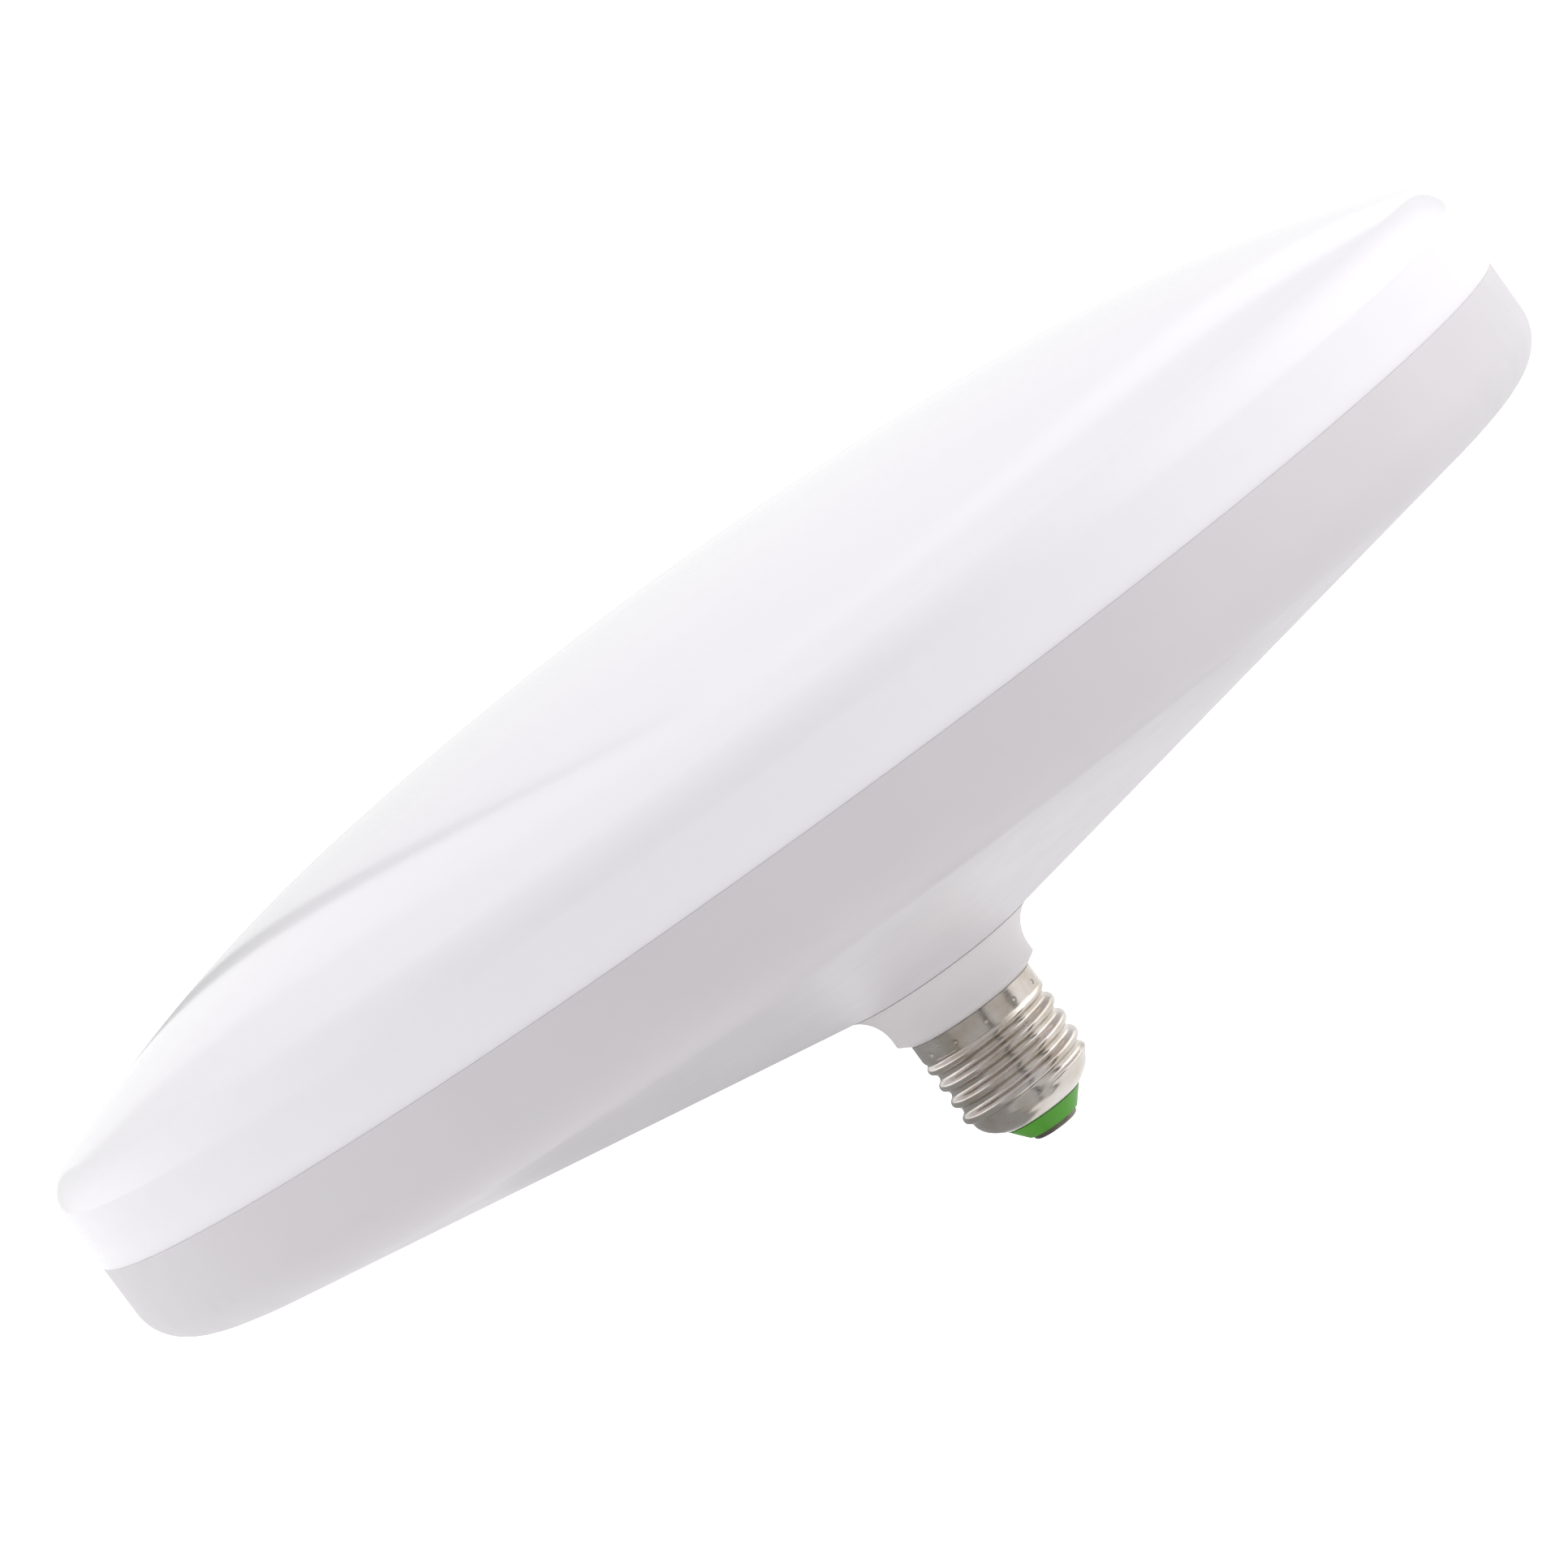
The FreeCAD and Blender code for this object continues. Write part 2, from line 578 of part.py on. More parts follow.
def make_diffuser_cover():
    outer = dome_arcs(as_size(0.0))
    inner = dome_arcs(S.cover_wall)
    inner_points = [corner[:2] for corner in inner]
    inner_bends = [-corner[2] for corner in inner[1:]]
    back_down = [inner_points[3]]
    for point, bend in zip(reversed(inner_points[:3]), reversed(inner_bends)):
        back_down.append((*point, bend))
    step_top = seam_height + S.cover_wall
    corners = [
        (lip_inside, lip_bottom),
        (lip_outside, lip_bottom),
        (lip_outside, seam_height),
        (S.disc_radius - S.seam_chamfer, seam_height),
        (S.disc_radius, seam_height + S.seam_chamfer),
        *outer,
        *back_down,
        (S.disc_radius - S.cover_wall, step_top + S.cover_wall),
        (lip_inside, step_top),
    ]
    body = turned_body("diffuser_cover", corners)
    bead_root = lip_outside - S.lip_wall / 2
    sketch = sketch_on(body, "bead_outline")
    outline(sketch, [
        (bead_root, bead_height - S.bead_half),
        (lip_outside, bead_height - S.bead_half),
        (lip_outside + S.bead_reach, bead_height),
        (lip_outside, bead_height + S.bead_half),
        (bead_root, bead_height + S.bead_half),
    ])
    bead = body.newObject("PartDesign::Revolution", "snap_bead")
    bead.Profile = sketch
    bead.ReferenceAxis = (sketch, ["V_Axis"])
    bead.Midplane = True
    bind(bead, "Angle", S.bead_arc)
    around_axis(body, "snap_beads", bead, BEAD_COUNT)


# Back housing


def make_back_housing():
    outside = turned_tool("housing_outside", [
        (0.0, flange_edge),
        (recess_radius, flange_edge),
        (S.disc_radius - corner_inset, band_bottom - corner_drop),
        (S.disc_radius, band_bottom, S.corner_round),
        (S.disc_radius, seam_height - S.seam_chamfer),
        (S.disc_radius - S.seam_chamfer, seam_height),
        (0.0, seam_height),
    ])
    collar_radius = recess_radius + S.collar_wall
    inner_round = S.corner_round - S.band_wall
    inner_corner_x = band_inside - inner_round * (1.0 - cone_sine)
    floor_corner = floor_height(band_inside)
    round_reach = inner_round * corner_reach
    rib_end = band_inside - S.rib_gap
    inside = turned_tool("housing_inside", [
        (0.0, collar_top),
        (collar_radius, collar_top),
        (collar_radius, floor_height(collar_radius)),
        (inner_corner_x, floor_height(inner_corner_x)),
        (band_inside, floor_corner + round_reach, inner_round),
        (band_inside, seam_height + CUT_OVERRUN),
        (0.0, seam_height + CUT_OVERRUN),
    ])
    rib_zone = turned_tool("rib_zone", [
        (S.rib_start, cone_height(S.rib_start) + S.cone_wall / 2),
        (rib_end, cone_height(rib_end) + S.cone_wall / 2),
        (rib_end, floor_height(rib_end) + S.rib_height),
        (S.rib_start, floor_height(S.rib_start) + S.rib_height),
    ])
    blades = []
    for index in range(RIB_COUNT):
        blade = doc.addObject("Part::Box", f"rib_blade_{index + 1}")
        bind(blade, "Length", rib_end + CUT_OVERRUN)
        bind(blade, "Width", S.rib_thickness)
        bind(blade, "Height", seam_height)
        turn = (index + 0.5) * FULL_TURN / RIB_COUNT
        blade.Placement.Rotation = Rotation(Vector(0, 0, 1), turn)
        place(blade, S.rib_thickness / 2 * sine(turn), -(S.rib_thickness / 2 * cosine(turn)))
        blades.append(blade)
    ribs = doc.addObject("Part::Common", "ribs")
    ribs.Base = fuse("rib_blades", blades)
    ribs.Tool = rib_zone
    bosses = []
    holes = []
    low = band_bottom / 2
    depth = S.screw_length - (board_top - plate_bottom) + S.pilot_spare
    for index, (x, y) in enumerate(ring_points(boss_circle, BOSS_COUNT), start=1):
        bosses.append(cylinder(f"boss_{index}", S.boss_radius, plate_bottom - low, x, y, low))
        holes.append(
            cylinder(f"boss_pilot_{index}", pilot_radius, depth, x, y, plate_bottom - depth)
        )
    low = driver_height / 2
    depth = S.short_screw - S.driver_thickness + S.pilot_spare
    for index, (x, y) in enumerate(post_points(), start=1):
        bosses.append(cylinder(f"post_{index}", S.post_radius, driver_height - low, x, y, low))
        holes.append(
            cylinder(f"post_pilot_{index}", pilot_radius, depth, x, y, driver_height - depth)
        )
    depth = S.ledge_thickness + 2 * CUT_OVERRUN
    for index, (x, y) in enumerate(neck_screw_points(), start=1):
        holes.append(
            cylinder(f"ledge_hole_{index}", through_radius, depth, x, y, flange_top - CUT_OVERRUN)
        )
    holes.append(cylinder("flange_recess", recess_radius, flange_top))
    holes.append(cylinder("wire_passage", S.ledge_opening, collar_top + CUT_OVERRUN))
    holes.append(cylinder("collar_bore", S.flange_radius, S.collar_rise + CUT_OVERRUN, z=ledge_top))
    groove_radius = lip_outside + S.bead_reach + S.snap_play
    groove_half = S.bead_half + S.snap_play
    holes.append(turned_tool("snap_groove", [
        (band_inside - CUT_OVERRUN, bead_height - groove_half),
        (band_inside, bead_height - groove_half),
        (groove_radius, bead_height),
        (band_inside, bead_height + groove_half),
        (band_inside - CUT_OVERRUN, bead_height + groove_half),
    ]))
    hollow = cut("housing_hollow", inside, fuse("housing_fittings", [ribs, *bosses]))
    shell = cut("housing_shell", outside, hollow)
    keep(cut("back_housing", shell, fuse("housing_holes", holes)), "back_housing")


def post_points():
    """Places of the four posts that carry the driver board."""
    reach_x = S.driver_length / 2 - S.post_inset
    reach_y = S.driver_width / 2 - S.post_inset
    for side_x in (1.0, -1.0):
        for side_y in (1.0, -1.0):
            yield reach_x * side_x, reach_y * side_y


def neck_screw_points():
    """Places of the screws that hold the neck flange."""
    return ring_points(S.neck_screw_circle, NECK_SCREW_COUNT, NECK_SCREW_TURN)


# Neck sleeve


def make_neck_sleeve():
    flare_cosine = 1.0 - (recess_radius - S.neck_radius) / S.flare_radius
    flare_end = flange_edge - S.joint_gap
    flare_start = flare_end - S.flare_radius * root(1.0 - flare_cosine * flare_cosine)
    spigot_radius = skirt_inside - S.spigot_play
    spigot_bottom = neck_rim - S.spigot_length
    nose_top = spigot_bottom + S.nose_length
    groove_depth = S.dimple_depth + S.spigot_play
    groove_height = S.cap_length - S.dimple_drop
    body = turned_body("neck_sleeve", [
        (S.nose_bore, spigot_bottom),
        (S.spigot_nose, spigot_bottom),
        (S.spigot_nose, nose_top),
        (spigot_radius, nose_top),
        (spigot_radius, groove_height - S.dimple_radius),
        (spigot_radius - groove_depth, groove_height),
        (spigot_radius, groove_height + S.dimple_radius),
        (spigot_radius, neck_rim),
        (S.skirt_radius + S.cap_gap, neck_rim),
        (S.neck_radius, neck_rim + S.neck_chamfer),
        (S.neck_radius, flare_start),
        (recess_radius, flare_end, -S.flare_radius),
        (S.flange_radius, flare_end),
        (S.flange_radius, flange_top),
        (S.ledge_opening, flange_top),
        (S.neck_bore, flange_top - (S.ledge_opening - S.neck_bore)),
        (S.neck_bore, nose_top + S.nose_length),
        (S.nose_bore, nose_top),
    ])
    sketch = sketch_on(body, "neck_pilot_circle", "XY_Plane", flange_top)
    circle_at(sketch, 0.0, S.neck_screw_circle, pilot_radius)
    depth = S.short_screw - S.ledge_thickness + S.pilot_spare
    pilot = pocket(body, "neck_pilot", sketch, depth)
    around_axis(body, "neck_pilots", pilot, NECK_SCREW_COUNT)


# Screw cap


def fade(position, low, high):
    """Smooth step from 0 at low to 1 at high."""
    share = min(max((position - low) / (high - low), 0.0), 1.0)
    return share * share * (3.0 - 2.0 * share)


class RolledShell:
    """Outer face of the rolled shell as a distance from the axis."""

    def __init__(self):
        self.lip = S.shell_lip_height.value
        self.top = (S.cap_length - S.skirt_height).value
        self.pitch = S.thread_pitch.value
        self.bend = S.thread_bend.value

    def knuckle(self, offset):
        """Radius of the thread at an axial distance from a crest."""
        from_crest = abs((offset + self.pitch / 2) % self.pitch - self.pitch / 2)
        if from_crest <= self.pitch / 4:
            return S.thread_crest.value - self.bend + math.sqrt(self.bend ** 2 - from_crest ** 2)
        from_root = self.pitch / 2 - from_crest
        return S.thread_root.value + self.bend - math.sqrt(self.bend ** 2 - from_root ** 2)

    def nose(self, height):
        share = min((height - self.lip) / S.shell_nose.value, 1.0)
        rise = 1.0 - (1.0 - share) ** NOSE_POWER
        return S.shell_lip_radius.value + (S.thread_root - S.shell_lip_radius).value * rise

    def radius(self, turn, height):
        crest = S.crest_mark.value + self.pitch * turn / (2 * math.pi)
        thread = self.knuckle(height - crest)
        fade_start = self.lip + (S.shell_nose - S.fade_reach).value
        lower = fade(height, fade_start, fade_start + S.lower_fade.value)
        upper = fade(height, self.top - S.upper_fade.value, self.top)
        faded = thread * lower + self.nose(height) * (1.0 - lower)
        return faded * (1.0 - upper) + (S.skirt_radius.value - RING_STEP) * upper

    def point(self, turn, height, inward):
        """A point of the face, moved inward along the face's normal."""
        step = 1.0e-4
        radius = self.radius(turn, height)
        slope = (self.radius(turn, height + step) - self.radius(turn, height - step)) / (2 * step)
        twist = (self.radius(turn + step, height) - self.radius(turn - step, height)) / (2 * step)
        normal = Vector(1.0, -twist / radius, -slope).normalize()
        if height >= self.top:
            normal = Vector(1, 0, 0)
        at = Vector(radius, 0, height) - normal * inward
        return Rotation(Vector(0, 0, 1), math.degrees(turn)).multVec(at)

    def face(self, inward):
        """A smooth face through points of the formula, once round the axis."""
        span = self.top - self.lip
        rows = int(math.ceil(span / self.pitch * PITCH_COUNT))
        steps = range(-OVERLAP_COUNT, AROUND_COUNT + OVERLAP_COUNT + 1)
        turns = [math.tau * step / AROUND_COUNT for step in steps]
        heights = [self.lip + span * index / rows for index in range(rows + 1)]
        grid = [[self.point(turn, height, inward) for height in heights] for turn in turns]
        surface = Part.BSplineSurface()
        surface.interpolate(grid)
        knots = surface.getUKnots()
        _, _, bottom, top = surface.bounds()
        end = OVERLAP_COUNT + AROUND_COUNT
        surface.segment(knots[OVERLAP_COUNT], knots[end], bottom, top)
        return surface.toShape()


def rim_of(face, lower):
    """The lower or upper round edge of a rolled face."""
    rims = sorted(face.Edges, key=lambda edge: edge.BoundBox.ZMin + edge.BoundBox.ZMax)
    return rims[0] if lower else rims[-1]


def staked_skirt():
    """The plain skirt with its ring of staking dimples."""
    bottom = Vector(0, 0, (S.cap_length - S.skirt_height).value)
    outer = S.skirt_radius.value
    inner = skirt_inside.value
    height = S.skirt_height.value
    skirt = Part.makeCylinder(outer, height, bottom).cut(Part.makeCylinder(inner, height, bottom))
    skirt.rotate(Vector(), Vector(0, 0, 1), SKIRT_SEAM_TURN)
    ball = S.dimple_radius.value
    reach = outer - S.dimple_depth.value + ball
    level = (S.cap_length - S.dimple_drop).value
    inside = Part.makeCylinder(outer - S.sheet.value / 2, height, bottom)
    bumps = []
    dents = []
    for index in range(DIMPLE_COUNT):
        angle = math.radians(index * FULL_TURN / DIMPLE_COUNT + DIMPLE_TURN)
        centre = Vector(reach * math.cos(angle), reach * math.sin(angle), level)
        bumps.append(Part.makeSphere(ball + S.sheet.value, centre).common(inside))
        dents.append(Part.makeSphere(ball, centre))
    return skirt.fuse(bumps).cut(dents)


def make_screw_shell():
    rolled = RolledShell()
    outer = rolled.face(0.0)
    inner = rolled.face(S.sheet.value - 2 * RING_STEP)
    faces = [outer, inner]
    for lower in (True, False):
        faces.append(Part.makeRuledSurface(rim_of(outer, lower), rim_of(inner, lower)))
    faces = Part.makeCompound(faces)
    faces.sewShape(SEAM_MATCH)
    shell = doc.addObject("Part::Feature", "screw_shell")
    shell.Shape = Part.Solid(faces.Shells[0]).fuse(staked_skirt()).Solids[0]
    keep(shell, "screw_shell")


def make_cap_insulator():
    seat = S.shell_lip_height
    wire_channel = S.wire_radius + S.through_play
    stem_hole = S.stem_radius + S.stem_play
    stem_top = S.contact_height + S.stem_length
    top_radius = S.thread_root - S.sheet - S.insulator_play * 2
    recess_out = top_radius - S.insulator_wall
    recess_in = stem_hole + S.insulator_wall
    recess_floor = S.insulator_top - S.insulator_recess
    turned_body("cap_insulator", [
        (stem_hole, S.contact_height),
        (S.insulator_foot, S.contact_height),
        (S.insulator_flank, seat - S.insulator_play),
        (S.insulator_seat, seat - S.insulator_play),
        (S.insulator_seat, seat + S.insulator_play),
        (S.insulator_shoulder, S.shoulder_height),
        (top_radius, S.insulator_top),
        (recess_out, S.insulator_top),
        (recess_out - S.insulator_wall, recess_floor),
        (recess_in, recess_floor),
        (recess_in, S.insulator_top),
        (wire_channel, S.insulator_top),
        (wire_channel, stem_top),
        (stem_hole, stem_top),
    ])


def make_centre_contact():
    stem_top = S.contact_height + S.stem_length
    turned_body("centre_contact", [
        (0.0, 0.0),
        (S.contact_radius - S.contact_round, 0.0),
        (S.contact_radius, S.contact_round, S.contact_round),
        (S.contact_radius, S.contact_height),
        (S.stem_radius, S.contact_height),
        (S.stem_radius, stem_top),
        (0.0, stem_top),
    ])


# Light engine


def drilled_disc(name, corners, top, depth):
    """A turned disc with the ring of board screw holes."""
    body = turned_body(name, corners)
    sketch = sketch_on(body, f"{name}_hole_circle", "XY_Plane", top)
    circle_at(sketch, boss_circle, 0.0, through_radius)
    hole = pocket(body, f"{name}_hole", sketch, depth + CUT_OVERRUN)
    around_axis(body, f"{name}_holes", hole, BOSS_COUNT)


def make_heat_plate():
    rim_inside = plate_radius - S.plate_thickness
    rim_bottom = board_bottom - S.plate_rim
    drilled_disc("heat_plate", [
        (S.wire_opening, plate_bottom),
        (rim_inside, plate_bottom),
        (rim_inside, rim_bottom),
        (plate_radius, rim_bottom),
        (plate_radius, board_bottom),
        (S.wire_opening, board_bottom),
    ], board_bottom, S.plate_thickness)


def make_led_board():
    drilled_disc("led_board", [
        (S.wire_opening, board_bottom),
        (board_radius, board_bottom),
        (board_radius, board_top),
        (S.wire_opening, board_top),
    ], board_top, S.board_thickness)


def make_insulating_sheet():
    turned_body("insulating_sheet", [
        (S.wire_opening, film_bottom),
        (S.sheet_radius, film_bottom),
        (S.sheet_radius, plate_bottom),
        (S.wire_opening, plate_bottom),
    ])


def solid_group(name, shapes):
    """Like pieces that share one file as separate solids."""
    group = doc.addObject("Part::Feature", name)
    group.Shape = shapes[0] if len(shapes) == 1 else Part.makeCompound(shapes)
    return keep(group, name)


def moved(shape, x, y, z, turn=0.0):
    copy = shape.copy()
    copy.Placement = Placement(Vector(x, y, z), Rotation(Vector(0, 0, 1), turn))
    return copy


def block(length, width, height, x=0.0, y=0.0, z=0.0):
    """A plain box shape centred on x and y and standing on z."""
    return Part.makeBox(length, width, height, Vector(x - length / 2, y - width / 2, z))


def make_led_chips():
    length, width, height = S.chip_length.value, S.chip_width.value, S.chip_height.value
    chip = block(length, width, height)
    level = board_top.value
    ring_step = (boss_circle - S.ring_inset - S.first_ring) / (len(RING_COUNTS) - 1)
    chips = []
    for ring, count in enumerate(RING_COUNTS):
        circle = (S.first_ring + ring_step * ring).value
        for index in range(count):
            turn = (index + 0.5) * FULL_TURN / count
            angle = math.radians(turn)
            chips.append(
                moved(chip, circle * math.cos(angle), circle * math.sin(angle), level, turn)
            )
    solid_group("led_chips", chips)


# Screws


def screw_shape(length):
    """A pan-head screw with a cross recess; its head stands on z = 0."""
    shank = S.screw_radius.value
    head_radius, head_height = S.head_radius.value, S.head_height.value
    tip = S.screw_point.value
    head = Part.makeCylinder(head_radius, head_height)
    rim = [edge for edge in head.Edges if edge.BoundBox.ZMin > head_height / 2]
    head = head.makeFillet(head_height / 2, rim)
    reach, arm, depth = S.recess_length.value, S.recess_width.value, S.recess_depth.value
    for size_x, size_y in ((reach, arm), (arm, reach)):
        head = head.cut(block(size_x, size_y, depth, z=head_height - depth))
    straight = Part.makeCylinder(shank, length - tip, Vector(0, 0, tip - length))
    point = Part.makeCone(S.screw_tip.value, shank, tip, Vector(0, 0, -length))
    return head.fuse([straight, point]).removeSplitter()


def screw_group(name, length, places, height):
    shape = screw_shape(length.value)
    solid_group(name, [moved(shape, x, y, height.value) for x, y in places])


def values(places):
    return [(as_size(x).value, as_size(y).value) for x, y in places]


def make_screws():
    board_places = values(ring_points(boss_circle, BOSS_COUNT))
    screw_group("board_screws", S.screw_length, board_places, board_top)
    screw_group("driver_screws", S.short_screw, values(post_points()), driver_top)
    screw_group("neck_screws", S.short_screw, values(neck_screw_points()), ledge_top)


# Driver


def make_driver_board():
    plain = box("driver_blank", S.driver_length, S.driver_width, S.driver_thickness,
                z=driver_height)
    depth = S.driver_thickness + 2 * CUT_OVERRUN
    low = driver_height - CUT_OVERRUN
    holes = []
    for index, (x, y) in enumerate(post_points(), start=1):
        holes.append(cylinder(f"driver_hole_{index}", through_radius, depth, x, y, low))
    keep(cut("driver_board", plain, fuse("driver_holes", holes)), "driver_board")


def make_transformer():
    core_bottom = driver_top + S.base_height
    x = S.transformer_x
    window_height = S.transformer_height - 2 * S.yoke
    window_width = (S.transformer_length - 2 * S.yoke - S.middle_leg) / 2
    window_shift = (S.middle_leg + window_width) / 2
    core = box("core_block", S.transformer_length, S.transformer_depth, S.transformer_height,
               x, z=core_bottom)
    window_depth = S.transformer_depth + 2 * CUT_OVERRUN
    windows = []
    for side, tag in ((1.0, "right"), (-1.0, "left")):
        windows.append(box(f"core_window_{tag}", window_width, window_depth, window_height,
                           x + window_shift * side, z=core_bottom + S.yoke))
    keep(cut("transformer_core", core, fuse("core_windows", windows)), "transformer_core")

    bobbin_bottom = core_bottom + S.yoke + S.bobbin_play
    bobbin_height = window_height - 2 * S.bobbin_play
    hole_x = S.middle_leg + 2 * S.bobbin_play
    hole_y = S.transformer_depth + 2 * S.bobbin_play
    tube_x = hole_x + 2 * S.bobbin_wall
    tube_y = hole_y + 2 * S.bobbin_wall
    flange_x = S.middle_leg + 2 * window_width - 2 * S.bobbin_play
    flange_y = S.winding_depth + 2 * S.bobbin_wall
    flange_lift = bobbin_bottom + bobbin_height - S.bobbin_wall
    solid_bobbin = fuse("bobbin_solid", [
        box("bobbin_tube", tube_x, tube_y, bobbin_height, x, z=bobbin_bottom),
        box("bobbin_foot", flange_x, flange_y, S.bobbin_wall, x, z=bobbin_bottom),
        box("bobbin_head", flange_x, flange_y, S.bobbin_wall, x, z=flange_lift),
    ])
    bobbin_hole = box("bobbin_hole", hole_x, hole_y, bobbin_height + 2 * CUT_OVERRUN,
                      x, z=bobbin_bottom - CUT_OVERRUN)
    keep(cut("transformer_bobbin", solid_bobbin, bobbin_hole), "transformer_bobbin")

    winding_bottom = bobbin_bottom + S.bobbin_wall
    winding_height = bobbin_height - 2 * S.bobbin_wall
    coil = box("coil_block", flange_x - S.bobbin_wall, S.winding_depth, winding_height,
               x, z=winding_bottom)
    rounded = doc.addObject("Part::Fillet", "coil_rounded")
    rounded.Base = coil
    doc.recompute()
    upright = [number for number, edge in enumerate(coil.Shape.Edges, start=1)
               if edge.BoundBox.ZLength > winding_height.value / 2]
    rounded.Edges = [(number, S.bobbin_wall.value, S.bobbin_wall.value) for number in upright]
    coil_hole = box("coil_hole", tube_x, tube_y, winding_height + 2 * CUT_OVERRUN,
                    x, z=winding_bottom - CUT_OVERRUN)
    keep(cut("transformer_winding", rounded, coil_hole), "transformer_winding")
    keep(box("transformer_base", S.transformer_length, flange_y, S.base_height, x, z=driver_top),
         "transformer_base")


def make_capacitor(name, radius, height, x, y):
    """A can that stands on the driver board, with a crimp and rounded edges."""
    body = turned_body(name, [
        (0.0, 0.0),
        (radius - S.can_round, 0.0),
        (radius, S.can_round, S.can_round),
        (radius, S.crimp_height - S.crimp_depth),
        (radius - S.crimp_depth, S.crimp_height),
        (radius, S.crimp_height + S.crimp_depth),
        (radius, height - S.can_round),
        (radius - S.can_round, height, S.can_round),
        (0.0, height),
    ])
    place(body, x, y, driver_top)


def make_film_capacitor():
    keep(box("film_capacitor", S.film_cap_length, S.film_cap_width, S.film_cap_height,
             input_end + S.film_cap_end, front_edge + S.film_cap_edge, driver_top),
         "film_capacitor")


def make_choke():
    hub_top = S.choke_height - S.choke_disc
    core = turned_body("choke_core", [
        (0.0, 0.0),
        (S.choke_radius, 0.0),
        (S.choke_radius, S.choke_disc),
        (S.choke_hub, S.choke_disc),
        (S.choke_hub, hub_top),
        (S.choke_radius, hub_top),
        (S.choke_radius, S.choke_height),
        (0.0, S.choke_height),
    ])
    coil = turned_body("choke_winding", [
        (S.choke_hub, S.choke_disc),
        (S.choke_coil, S.choke_disc),
        (S.choke_coil, hub_top),
        (S.choke_hub, hub_top),
    ])
    x, y = input_end + S.choke_end, front_edge + S.choke_edge
    place(core, x, y, driver_top)
    place(coil, x, y, driver_top)


def lying_cylinder(name, radius, length, x, y, turn):
    """A round part that lies on the driver board along its own X."""
    piece = doc.addObject("Part::Cylinder", name)
    bind(piece, "Radius", radius)
    bind(piece, "Height", length)
    along = Rotation(Vector(0, 0, 1), turn) * Rotation(Vector(0, 1, 0), 90)
    piece.Placement.Rotation = along
    half = length / 2
    place(piece, x - half * cosine(turn), y - half * sine(turn), driver_top + radius)
    keep(piece, name)


def make_small_parts():
    keep(box("bridge_rectifier", S.rectifier_length, S.rectifier_width, S.rectifier_height,
             input_end + S.rectifier_end, 0.0, driver_top), "bridge_rectifier")
    varistor = doc.addObject("Part::Cylinder", "surge_varistor")
    bind(varistor, "Radius", S.varistor_radius)
    bind(varistor, "Height", S.varistor_thickness)
    varistor.Placement.Rotation = Rotation(Vector(1, 0, 0), 90)
    place(varistor, input_end + S.varistor_end, rear_edge - S.varistor_edge,
          driver_top + S.varistor_radius)
    keep(varistor, "surge_varistor")
    lying_cylinder("fuse_resistor", S.fuse_radius, S.fuse_length,
                   input_end + S.fuse_end, front_edge + S.fuse_edge, 0.0)
    lying_cylinder("output_diode", S.diode_radius, S.diode_length,
                   output_end - S.diode_end, rear_edge - S.diode_edge, 90.0)
    keep(box("driver_chip", S.driver_chip_length, S.driver_chip_width, S.driver_chip_height,
             input_end + S.driver_chip_end, rear_edge - S.driver_chip_edge, driver_top),
         "driver_chip")
    case_y = front_edge + S.transistor_edge
    case = box("transistor_case", S.transistor_width, S.transistor_depth, S.transistor_height,
               S.transistor_x, case_y, driver_top)
    tab_y = case_y - (S.transistor_depth + S.tab_thickness) / 2
    tab = box("transistor_tab", S.transistor_width, S.tab_thickness, S.tab_height,
              S.transistor_x, tab_y, driver_top)
    keep(fuse("power_transistor", [case, tab]), "power_transistor")
    resistor = block(S.small_part_length.value, S.small_part_width.value, S.small_part_height.value)
    rows = values([
        (S.rear_row_x, rear_edge - S.rear_row_edge),
        (input_end + S.front_row_end, front_edge + S.front_row_edge),
    ])
    resistors = []
    for row_x, row_y in rows:
        for index in range(ROW_COUNT):
            step = index * S.small_part_step.value
            resistors.append(moved(resistor, row_x + step, row_y, driver_top.value))
    solid_group("chip_resistors", resistors)
    keep(box("wire_socket", S.socket_width, S.socket_length, S.socket_height,
             output_end - S.socket_end, 0.0, driver_top), "wire_socket")
    keep(box("terminal_block", S.socket_width, S.socket_length, S.terminal_height,
             S.terminal_x, 0.0, board_top), "terminal_block")


# Inner wires


def wire_shape(corners, radius, bend):
    """A round wire along straight runs joined by tangent arcs."""
    points = [Vector(*corner) for corner in corners]
    edges = []
    start = points[0]
    for before, corner, after in zip(points, points[1:], points[2:]):
        to_before = (before - corner).normalize()
        to_after = (after - corner).normalize()
        half_angle = to_before.getAngle(to_after) / 2
        reach = bend / math.tan(half_angle)
        arc_start = corner + to_before * reach
        arc_end = corner + to_after * reach
        middle = (to_before + to_after).normalize()
        arc_middle = corner + middle * (bend / math.sin(half_angle) - bend)
        edges.append(Part.LineSegment(start, arc_start).toShape())
        edges.append(Part.Arc(arc_start, arc_middle, arc_end).toShape())
        start = arc_end
    edges.append(Part.LineSegment(start, points[-1]).toShape())
    path = Part.Wire(edges)
    direction = points[1] - points[0]
    section = Part.Wire([Part.makeCircle(radius, points[0], direction)])
    return path.makePipeShell([section], True, False)


def make_wire(name, corners):
    corners = [[as_size(item).value for item in corner] for corner in corners]
    wire = doc.addObject("Part::Feature", name)
    wire.Shape = wire_shape(corners, S.wire_radius.value, S.wire_bend.value)
    keep(wire, name)


